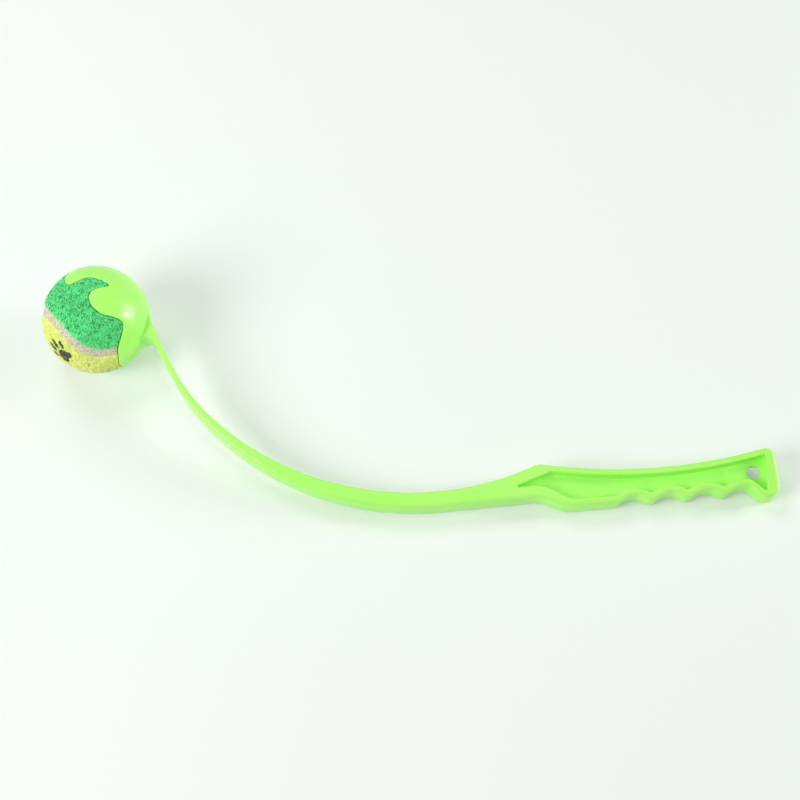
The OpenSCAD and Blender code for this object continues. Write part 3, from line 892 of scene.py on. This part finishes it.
def quad_ball(name, cells):
    """A ball of radius 1 whose faces are near to squares, with a number of them along each edge of a cube."""
    deselect_all()
    bpy.ops.mesh.primitive_cube_add(size=2)
    obj = name_active(name)
    edit_selected(obj, "FACE", every_face(obj))
    bpy.ops.mesh.subdivide(number_cuts=cells - 1)
    leave_edit()
    set_coordinates(obj.data, unit(np.tan(coordinates(obj.data) * math.pi / 4)))
    return obj


def open_edges(mesh):
    """Marks the edges that have a face on one side only."""
    loops = read_all(mesh.loops, "edge_index", kind=int)
    return np.bincount(loops, minlength=len(mesh.edges)) == 1


def points_of(mesh, edges):
    marked = np.zeros(len(mesh.vertices), bool)
    marked[edge_ends(mesh)[edges].ravel()] = True
    return marked


def trimmed_ball(name, cells, border, depth):
    """A part of a ball of radius 1, cut along the line at a depth inside a border."""
    obj = quad_ball(name, cells)
    mesh = obj.data
    centres = unit(read_all(mesh.polygons, "center", 3))
    edit_selected(obj, "FACE", border.depth(centres) < depth)
    bpy.ops.mesh.delete(type="FACE")
    leave_edit()
    edge = points_of(mesh, open_edges(mesh))
    points = coordinates(mesh)
    points[edge] = border.inset(points[edge], depth)
    set_coordinates(mesh, points)
    edit_selected(obj, "VERT", ~edge)
    bpy.ops.mesh.vertices_smooth(factor=0.5, repeat=4)
    leave_edit()
    set_coordinates(mesh, unit(coordinates(mesh)))
    return obj


def cup_shell(plan):
    """Models the cup: a part of a ball with a strip along its notched rim, then its wall and rounded lip."""
    cup = plan.cup
    border = rim_border(plan)
    strip = 2 * cup.lip_r / plan.cup_out_r
    obj = trimmed_ball("cup_shell", CUP_CELLS, border, strip)
    mesh = obj.data
    extrude(obj, "EDGE", open_edges(mesh))
    points = coordinates(mesh)
    rim = points_of(mesh, open_edges(mesh))
    points[rim] = border.inset(points[rim], 0)
    set_coordinates(mesh, plan.cup_out_r * points)
    face_outward(obj, RIM_JOIN)
    apply_modifier(obj, "Wall", "SOLIDIFY", thickness=cup.cup_wall, offset=-1, use_rim=True)
    apply_modifier(
        obj, "Rounded lip", "BEVEL", limit_method="ANGLE", angle_limit=math.radians(LIP_CORNER),
        width=cup.lip_r, segments=LIP_SEGMENTS)
    points = coordinates(mesh)
    radius = np.clip(np.linalg.norm(points, axis=1), plan.cup_in_r, plan.cup_out_r)
    set_coordinates(mesh, unit(points) * radius[:, None])
    return obj


class LAUNCHER_OT_moulding(bpy.types.Operator):
    """Models the stick and its cup as the one moulding that they are"""
    bl_idname = "launcher.moulding"
    bl_label = "Stick and cup"

    def execute(self, context):
        plan = LauncherPlan(context.scene)
        obj = stick_blank(plan)
        thicken_stick(plan, obj)
        round_stick_edges(plan, obj)
        drill_hanging_hole(plan, obj)
        press_pin_marks(plan, obj)
        cup = cup_shell(plan)
        apply_modifier(obj, "Cup", "BOOLEAN", operation="UNION", solver="MANIFOLD", object=cup)
        bpy.data.objects.remove(cup)
        obj.data.transform(plan.to_world)
        shade_smooth(obj)
        apply_modifier(obj, "Even shading", "WEIGHTED_NORMAL", keep_sharp=True, mode="FACE_AREA", weight=50)
        obj.data.materials.clear()
        obj.data.materials.append(plastic_material(context.scene.launcher_colours))
        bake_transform(obj)
        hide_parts("grip_handle", "curved_shaft", "flex_neck", "ball_cup")
        return {"FINISHED"}


def free_share(plan, directions, rim):
    """How free the ball's face is: 0 under the cup and 1 in its mouth."""
    return 1 - ease(-FELT_FREE, 0, rim.depth(directions) * plan.ball_r)


def seam_radius(plan, free):
    return plan.ball_r - plan.ball.seam_drop + SEAM_SWELL * free


def felt_radius(plan, directions, seam, rim):
    """Radii of the felt's face: pressed under the cup, swollen in its mouth, most at the rim, and rolled
    down at the seam."""
    ball = plan.ball
    free = free_share(plan, directions, rim)
    inward = np.clip(seam.depth(directions) * plan.ball_r / FELT_ROLL, 0, 1)
    roll = np.sqrt(1 - (1 - inward) ** 2)
    fine = plan.ball_r / ball.tuft_w
    tufts = np.array([noise.noise(Vector(direction) * fine) for direction in directions])
    bulge = FELT_BULGE * (1 - ease(0, FELT_BULGE_W, -rim.depth(directions) * plan.ball_r))
    swell = free * (ball.nap_h - ball.strand_h + bulge)
    swell += (PRESSED_TUFTS + (1 - PRESSED_TUFTS) * free) * ball.tuft_h * tufts
    low = seam_radius(plan, free) - FELT_SUNK
    return low + (plan.ball_r + FELT_PRESSED + swell - low) * roll


def felt_panel(plan, node_name):
    """Models one felt panel as a closed shell from the core to the felt's tufted face, with its strands."""
    seam = panel_border(plan, node_name)
    rim = rim_border(plan)
    obj = trimmed_ball(node_name + "_panel", FELT_CELLS, seam, 0)
    mesh = obj.data
    extrude(obj, "FACE", every_face(obj))
    top = read_all(mesh.vertices, "select", kind=bool)
    directions = unit(coordinates(mesh))
    radius = np.full(len(directions), plan.core_r)
    radius[top] = felt_radius(plan, directions[top], seam, rim)
    set_coordinates(mesh, directions * radius[:, None])
    face_outward(obj)
    # Painted shade: the felt's face is painted darker between the strands than on them, and darkest in a thin
    # line along the cup's rim
    rim_painted_shade = ease(0, RIM_PAINTED_SHADE, np.abs(rim.depth(directions)) * plan.ball_r)
    set_values(mesh, "nap", "POINT", BASE_NAP_PAINTED_SHADE * rim_painted_shade)
    strands = felt_strands(plan, node_name, seam, rim)
    make_active(obj)
    strands.select_set(True)
    bpy.ops.object.join()
    bpy.ops.object.shade_smooth()
    return obj


def strand_lines(plan, rng, root, radius, lift):
    """The strands' middle lines from their roots, the ways that they run and the directions up."""
    ball = plan.ball
    count = len(root)
    heading = unit(np.cross(root, rng.normal(size=(count, 3))))
    aside = np.cross(root, heading)
    step = ball.strand_l * rng.uniform(*STRAND_LENGTHS, count) / STRAND_RINGS
    crest = lift * rng.uniform(*STRAND_HEIGHTS, count)
    turn = np.cumsum(rng.uniform(-STRAND_CURL, STRAND_CURL, (count, STRAND_RINGS)), axis=1)
    ways = np.cos(turn)[..., None] * heading[:, None] + np.sin(turn)[..., None] * aside[:, None]
    moves = np.cumsum(ways * step[:, None, None], axis=1)
    moves = np.concatenate([np.zeros((count, 1, 3)), moves], axis=1)
    up = unit((root * radius[:, None])[:, None] + moves)
    lines = up * (radius[:, None] + crest[:, None] * np.array(STRAND_RISE))[..., None]
    return lines, np.concatenate([ways[:, :1], ways], axis=1), up


def strand_faces():
    """Faces of one strand: its sides from ring to ring, its pointed tip and its flat root."""
    faces = []
    for k in range(STRAND_RINGS - 1):
        for j in range(STRAND_SIDES):
            a, b = k * STRAND_SIDES + j, k * STRAND_SIDES + (j + 1) % STRAND_SIDES
            faces.append((a, b, b + STRAND_SIDES, a + STRAND_SIDES))
    last = (STRAND_RINGS - 1) * STRAND_SIDES
    tip = STRAND_RINGS * STRAND_SIDES
    faces += [(last + j, last + (j + 1) % STRAND_SIDES, tip) for j in range(STRAND_SIDES)]
    return faces + [tuple(reversed(range(STRAND_SIDES)))]


def strand_clear(plan, directions, seam, rim):
    """Marks the places where a strand keeps clear of the cup's rim and of the panel's edge."""
    room = plan.ball.strand_r / plan.ball_r
    return (seam.depth(directions) > room) & (rim.depth(directions) < -room)


def felt_strands(plan, node_name, seam, rim):
    """Models the curled strands of a panel's nap, which lie on the felt in the cup's mouth."""
    ball = plan.ball
    rng = np.random.default_rng(STRAND_SEED + PANEL_EDGES[node_name][0])
    root = unit(rng.normal(size=(STRAND_TRIES * ball.strand_count, 3)))
    root = root[strand_clear(plan, root, seam, rim)]
    lift = ball.strand_h * STRAND_LIFT[node_name]
    lines, ways, up = strand_lines(plan, rng, root, felt_radius(plan, root, seam, rim), lift)
    clear = strand_clear(plan, up.reshape(-1, 3), seam, rim).reshape(len(root), -1).all(axis=1)
    lines, ways, up = (points[clear][:ball.strand_count] for points in (lines, ways, up))
    count = len(lines)
    across = unit(np.cross(ways, up))[:, :STRAND_RINGS, None]
    corner = np.arange(STRAND_SIDES)[:, None] * 2 * math.pi / STRAND_SIDES
    ring = np.cos(corner) * across + np.sin(corner) * up[:, :STRAND_RINGS, None]
    thick = ball.strand_r * rng.uniform(*STRAND_WIDTHS, (count, 1)) * np.array(STRAND_TAPER)
    rings = lines[:, :STRAND_RINGS, None] + thick[..., None, None] * ring
    points = np.concatenate([rings.reshape(count, -1, 3), lines[:, -1:]], axis=1)
    per_strand = points.shape[1]
    pattern = strand_faces()
    faces = [tuple(v + per_strand * i for v in face) for i in range(count) for face in pattern]
    mesh = bpy.data.meshes.new(node_name + "_strands")
    mesh.from_pydata(points.reshape(-1, 3).tolist(), [], faces)
    mesh.update()
    deep = rng.uniform(size=count) < STRAND_DEEP
    bright = np.where(deep, rng.uniform(*DEEP_NAP, count), rng.uniform(*BRIGHT_NAP, count))
    # Painted shade: each strand is darker at its root
    along = np.repeat(STRAND_PAINTED_SHADES, [STRAND_SIDES] * STRAND_RINGS + [1])
    set_values(mesh, "nap", "POINT", (bright[:, None] * along).ravel())
    return add_object(mesh.name, mesh)


def seam_band(plan):
    """Models the cement seam as a closed band that runs on under both felt panels."""
    obj, column, row = add_grid("felt_seam_band", SEAM_STEPS, SEAM_LANES)
    sample = column % SEAM_STEPS * (SEAM_SAMPLES // SEAM_STEPS)
    way = (row / SEAM_LANES * (1 + 2 * SEAM_TUCK) - SEAM_TUCK)[:, None]
    one, other = plan.seam_line(1), plan.seam_line(-1)
    directions = unit(one[sample] * (1 - way) + other[sample] * way)
    grain = np.array([noise.noise(Vector(direction) * SEAM_GRAINS) for direction in directions])
    radius = seam_radius(plan, free_share(plan, directions, rim_border(plan))) + SEAM_GRAIN * grain
    for node_name in PANEL_EDGES:
        under = panel_border(plan, node_name).depth(directions) * plan.ball_r
        radius -= SEAM_DIP * ease(0, SEAM_DIP_IN, under)
    mesh = obj.data
    set_coordinates(mesh, directions * radius[:, None])
    face_outward(obj, SEAM_JOIN)
    outward = np.sum(face_normals(mesh)[0] * coordinates(mesh)[mesh.polygons[0].vertices[0]])
    depth = plan.ball_r - plan.ball.seam_drop - SEAM_DIP - plan.core_r
    apply_modifier(obj, "Depth", "SOLIDIFY", thickness=depth, offset=-1 if outward > 0 else 1, use_rim=True)
    face_outward(obj)
    shade_smooth(obj)
    return obj


class LAUNCHER_OT_ball(bpy.types.Operator):
    """Models the ball's two felt panels and its seam, and gives its core its rubber"""
    bl_idname = "launcher.ball"
    bl_label = "Felt ball"

    def execute(self, context):
        scene = context.scene
        plan = LauncherPlan(scene)
        colours = scene.launcher_colours
        green = felt_material("green_felt", colours.felt_green, colours.felt_green_deep)
        yellow = felt_material("yellow_felt", colours.felt_yellow, colours.felt_yellow_deep)
        add_print(plan, yellow, colours.ink)
        pieces = (
            (felt_panel(plan, "felt_green"), "felt_green", "felt_green", green),
            (felt_panel(plan, "felt_yellow"), "felt_yellow", "felt_yellow", yellow),
            (seam_band(plan), "felt_seam", "seam", seam_material(colours)),
        )
        for obj, node_name, slot_name, material in pieces:
            obj.data.transform(plan.to_world)
            obj.data.materials.clear()
            obj.data.materials.append(material)
            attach(obj, "ball")
            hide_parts(node_name)
        rubber = rubber_material(colours)
        for name in ("core_half_a", "core_half_b"):
            core = bpy.data.objects[name]
            for material_slot in core.material_slots:
                material_slot.material = rubber
        return {"FINISHED"}


def add_node(tree, kind, inputs=None, **settings):
    """Adds a node, sets its settings, and links or sets its inputs."""
    node = tree.nodes.new(kind)
    for name, value in settings.items():
        setattr(node, name, value)
    for socket, value in (inputs or {}).items():
        if isinstance(value, bpy.types.NodeSocket):
            tree.links.new(value, node.inputs[socket])
        else:
            node.inputs[socket].default_value = value
    return node


def noise_value(tree, place, scale, detail=2.0, roughness=0.5):
    inputs = {"Vector": place, "Scale": scale, "Detail": detail, "Roughness": roughness}
    return add_node(tree, "ShaderNodeTexNoise", inputs).outputs["Fac"]


def mix_colour(tree, factor, first, second):
    node = add_node(tree, "ShaderNodeMix", {0: factor, 6: first, 7: second}, data_type="RGBA")
    return node.outputs[2]


def spread(tree, value, low, high, to_low=0.0, to_high=1.0):
    """Carries a value from one range to another, and holds it there."""
    inputs = {"Value": value, "From Min": low, "From Max": high, "To Min": to_low, "To Max": to_high}
    return add_node(tree, "ShaderNodeMapRange", inputs).outputs["Result"]


def calculate(tree, operation, first, second):
    return add_node(tree, "ShaderNodeMath", {0: first, 1: second}, operation=operation).outputs[0]


def object_place(tree):
    return add_node(tree, "ShaderNodeTexCoord").outputs["Object"]


def surface_group(name, colours, values):
    """Starts a surface's node group with inputs for colours and values, and returns it with the inputs."""
    tree = bpy.data.node_groups.new(name, "ShaderNodeTree")
    for sockets, kind in ((colours, "NodeSocketColor"), (values, "NodeSocketFloat")):
        for socket in sockets:
            tree.interface.new_socket(socket, in_out="INPUT", socket_type=kind)
    for socket, kind in SURFACE_SOCKETS.items():
        tree.interface.new_socket(socket, in_out="OUTPUT", socket_type=kind)
    return tree, tree.nodes.new("NodeGroupInput").outputs


def end_group(tree, tint, roughness, grain, strength, depth):
    """Ends the node group of a surface with its colour, its roughness and the normal of its grain."""
    bump = add_node(tree, "ShaderNodeBump", {"Strength": strength, "Distance": depth, "Height": grain})
    inputs = {"Base Color": tint, "Roughness": roughness, "Normal": bump.outputs["Normal"]}
    add_node(tree, "NodeGroupOutput", inputs)


def new_material(name):
    material = bpy.data.materials.new(name)
    material.use_nodes = True
    return material, material.node_tree, material.node_tree.nodes["Principled BSDF"]


def add_surface(tree, shader, group, inputs, shine):
    """Gives a shader its colour, roughness and normal from a node group, and its shine."""
    surface = add_node(tree, "ShaderNodeGroup", inputs, node_tree=group)
    for socket in SURFACE_SOCKETS:
        tree.links.new(surface.outputs[socket], shader.inputs[socket])
    for socket, value in shine.items():
        shader.inputs[socket].default_value = value


def clouded_surface():
    """Group: two colours clouded together, an uneven roughness and a fine grain, for what is moulded."""
    if "clouded_surface" in bpy.data.node_groups:
        return bpy.data.node_groups["clouded_surface"]
    tree, given = surface_group(
        "clouded_surface", ("Colour", "Cloud Colour"),
        ("Cloud Scale", "Grain Scale", "Grain Depth", "Low Roughness", "High Roughness"))
    place = object_place(tree)
    cloud = noise_value(tree, place, given["Cloud Scale"], detail=3.0)
    grain = noise_value(tree, place, given["Grain Scale"], detail=3.0)
    tint = mix_colour(tree, spread(tree, cloud, *CLOUD_RANGE), given["Colour"], given["Cloud Colour"])
    rough = spread(tree, grain, *NOISE_RANGE, given["Low Roughness"], given["High Roughness"])
    end_group(tree, tint, rough, grain, strength=0.5, depth=given["Grain Depth"])
    return tree


def clouded_material(name, first, second, settings, shine):
    material, tree, shader = new_material(name)
    inputs = {"Colour": (*first, 1), "Cloud Colour": (*second, 1), **settings}
    add_surface(tree, shader, clouded_surface(), inputs, shine)
    return material


def plastic_material(colours):
    settings = {
        "Cloud Scale": 18.0, "Grain Scale": 260.0, "Grain Depth": 0.0015 * MM,
        "Low Roughness": 0.32, "High Roughness": 0.38}
    shine = {"Coat Weight": 0.35, "Coat Roughness": 0.12}
    return clouded_material("lime_plastic", colours.plastic, colours.plastic_pale, settings, shine)


def seam_material(colours):
    settings = {
        "Cloud Scale": 900.0, "Grain Scale": 2600.0, "Grain Depth": 0.15 * MM,
        "Low Roughness": 0.75, "High Roughness": 0.95}
    return clouded_material("cement_seam", colours.seam_deep, colours.seam, settings, {})


def rubber_material(colours):
    settings = {
        "Cloud Scale": 90.0, "Grain Scale": 1200.0, "Grain Depth": 0.05 * MM,
        "Low Roughness": 0.55, "High Roughness": 0.75}
    return clouded_material("core_rubber", colours.rubber, colours.rubber_pale, settings, {})


def felt_surface():
    """Group: felt that is bright on its strands and deep between them, the deep being painted shade carried
    in by the nap value, with a fine fibre grain.
    """
    if "felt_surface" in bpy.data.node_groups:
        return bpy.data.node_groups["felt_surface"]
    tree, given = surface_group("felt_surface", ("Bright", "Deep"), ("Nap",))
    place = object_place(tree)
    fibre = noise_value(tree, place, FIBRE_SCALE, detail=4.0, roughness=0.65)
    worn = spread(tree, noise_value(tree, place, PATCH_SCALE), *NOISE_RANGE, *PATCH_WEAR)
    speckle = spread(tree, fibre, *NOISE_RANGE, *FIBRE_SPECKLE)
    amount = calculate(tree, "ADD", given["Nap"], calculate(tree, "ADD", worn, speckle))
    tint = mix_colour(tree, spread(tree, amount, 0.0, 1.0), given["Deep"], given["Bright"])
    rough = spread(tree, fibre, *NOISE_RANGE, *FELT_ROUGHNESS)
    end_group(tree, tint, rough, fibre, strength=0.6, depth=FIBRE_DEPTH)
    return tree


def felt_material(name, bright, deep):
    material, tree, shader = new_material(name)
    # The nap attribute carries the strands' own brightness and the painted shade of the felt
    nap = add_node(tree, "ShaderNodeAttribute", attribute_name="nap")
    inputs = {"Bright": (*bright, 1), "Deep": (*deep, 1), "Nap": nap.outputs["Fac"]}
    shine = {"Specular IOR Level": 0.2, "Sheen Weight": 0.5, "Sheen Roughness": 0.5}
    add_surface(tree, shader, felt_surface(), inputs, shine)
    return material


def vector_math(tree, operation, output, *inputs):
    node = add_node(tree, "ShaderNodeVectorMath", dict(enumerate(inputs)), operation=operation)
    return node.outputs[output]


def add_print(plan, material, ink):
    """Prints a plain paw on the felt, with its edge broken by the nap."""
    tree = material.node_tree
    shader = tree.nodes["Principled BSDF"]
    felt = shader.inputs["Base Color"].links[0].from_socket
    turn = plan.to_world.to_3x3()
    aim = (turn @ Vector(PRINT_AIM)).normalized()
    toes = turn @ Vector(PRINT_TOES)
    toes = (toes - toes.dot(aim) * aim).normalized()
    side = toes.cross(aim)
    place = object_place(tree)
    from_middle = vector_math(tree, "SUBTRACT", "Vector", place, plan.to_world.translation)
    across, upward, outward = (
        vector_math(tree, "DOT_PRODUCT", "Value", from_middle, axis) for axis in (side, toes, aim))
    rough = noise_value(tree, place, PRINT_GRAIN, detail=3.0)
    waver = spread(tree, rough, *NOISE_RANGE, -PRINT_WAVER, PRINT_WAVER)
    across = calculate(tree, "ADD", across, waver)
    upward = calculate(tree, "SUBTRACT", upward, waver)
    spot = add_node(tree, "ShaderNodeCombineXYZ", {0: across, 1: upward}).outputs[0]
    mask = 0.0
    for x, y, half_x, half_y, degrees in PRINT_PADS:
        pad = add_node(tree, "ShaderNodeMapping", {
            "Vector": spot, "Location": (x * MM, y * MM, 0), "Rotation": (0, 0, math.radians(degrees)),
            "Scale": (half_x * MM, half_y * MM, 1)}, vector_type="TEXTURE").outputs[0]
        inside = spread(tree, vector_math(tree, "LENGTH", "Value", pad), *PRINT_EDGE)
        mask = calculate(tree, "MAXIMUM", mask, inside)
    printed = calculate(tree, "MULTIPLY", mask, calculate(tree, "GREATER_THAN", outward, 0.0))
    worn = calculate(tree, "MULTIPLY", printed, spread(tree, rough, *NOISE_RANGE, 1.0, PRINT_WORN))
    tree.links.new(mix_colour(tree, worn, felt, (*ink, 1)), shader.inputs["Base Color"])


class LAUNCHER_OT_stage(bpy.types.Operator):
    """Lays the pale floor and sets the lights and the camera"""
    bl_idname = "launcher.stage"
    bl_label = "Stage"

    def execute(self, context):
        scene = context.scene
        scene.view_settings.view_transform = "Standard"
        deselect_all()
        bpy.ops.mesh.primitive_plane_add(size=FLOOR_SIZE, location=(0, 0, 0))
        floor = context.object
        floor.name = "floor"
        floor.data.materials.append(floor_material(scene.launcher_colours.floor))
        scene.world = studio_world(scene.launcher_colours.floor)
        for name, lamp in LAMPS.items():
            add_soft_light(name, *lamp)
        add_camera(scene)
        return {"FINISHED"}


def directly_seen(tree):
    """One for rays that show a thing to the camera, straight, mirrored or through another, else nothing."""
    path = add_node(tree, "ShaderNodeLightPath")
    seen = calculate(tree, "MAXIMUM", path.outputs["Is Camera Ray"], path.outputs["Is Glossy Ray"])
    return calculate(tree, "MAXIMUM", seen, path.outputs["Is Transmission Ray"])


def studio_world(tint):
    """White room that lights the object softly and shows as a pale backdrop beyond the floor."""
    world = bpy.data.worlds.new("studio")
    world.use_nodes = True
    tree = world.node_tree
    background = tree.nodes["Background"]
    seen = directly_seen(tree)
    tree.links.new(mix_colour(tree, seen, (1, 1, 1, 1), (*tint, 1)), background.inputs["Color"])
    tree.links.new(spread(tree, seen, 0, 1, WORLD_LIGHT, 1.0), background.inputs["Strength"])
    return world


def floor_material(tint):
    """Pale floor that keeps the object's shadow and is partly its own light to the camera."""
    material, tree, shader = new_material("pale_floor")
    shader.inputs["Base Color"].default_value = (*tint, 1)
    shader.inputs["Roughness"].default_value = FLOOR_ROUGHNESS
    glow = add_node(tree, "ShaderNodeEmission", {"Color": (*tint, 1), "Strength": 1.0})
    part = calculate(tree, "MULTIPLY", directly_seen(tree), FLOOR_GLOW)
    mix = add_node(
        tree, "ShaderNodeMixShader", {0: part, 1: shader.outputs["BSDF"], 2: glow.outputs["Emission"]})
    tree.links.new(mix.outputs["Shader"], tree.nodes["Material Output"].inputs["Surface"])
    return material


def add_soft_light(name, place, target, width, height, power):
    data = bpy.data.lights.new(name, "AREA")
    data.shape = "RECTANGLE"
    data.size = width
    data.size_y = height
    data.energy = power
    obj = add_object(name, data)
    obj.location = place
    obj.rotation_euler = (Vector(target) - Vector(place)).to_track_quat("-Z", "Y").to_euler()


def add_camera(scene):
    data = bpy.data.cameras.new("photo_view")
    data.lens = CAMERA_LENS
    data.sensor_width = CAMERA_SENSOR
    obj = add_object("photo_view", data)
    back = -CAMERA_LOOK.normalized()
    right = CAMERA_UP.cross(back).normalized()
    up = back.cross(right)
    matrix = Matrix((right, up, back)).transposed().to_4x4()
    matrix.translation = CAMERA_AT
    obj.matrix_world = matrix
    scene.camera = obj


class LAUNCHER_PT_panel(bpy.types.Panel):
    """Lists the launcher's pieces"""
    bl_idname = "LAUNCHER_PT_panel"
    bl_label = "Ball launcher"
    bl_space_type = "VIEW_3D"
    bl_region_type = "UI"
    bl_category = "Launcher"

    def draw(self, context):
        for operator in OPERATORS:
            self.layout.operator(operator.bl_idname)


OPERATORS = (LAUNCHER_OT_stage, LAUNCHER_OT_moulding, LAUNCHER_OT_ball)
GROUPS = {
    "launcher_stick": LauncherStickSizes,
    "launcher_cup": LauncherCupSizes,
    "launcher_ball": LauncherBallSizes,
    "launcher_colours": LauncherColours,
}


def register():
    for cls in (*GROUPS.values(), *OPERATORS, LAUNCHER_PT_panel):
        bpy.utils.register_class(cls)
    for name, cls in GROUPS.items():
        setattr(bpy.types.Scene, name, bpy.props.PointerProperty(type=cls))


def unregister():
    for name in GROUPS:
        delattr(bpy.types.Scene, name)
    for cls in (LAUNCHER_PT_panel, *OPERATORS, *GROUPS.values()):
        bpy.utils.unregister_class(cls)


def main():
    register()
    bpy.ops.launcher.stage()
    bpy.ops.launcher.moulding()
    bpy.ops.launcher.ball()


if __name__ == "__main__":
    main()
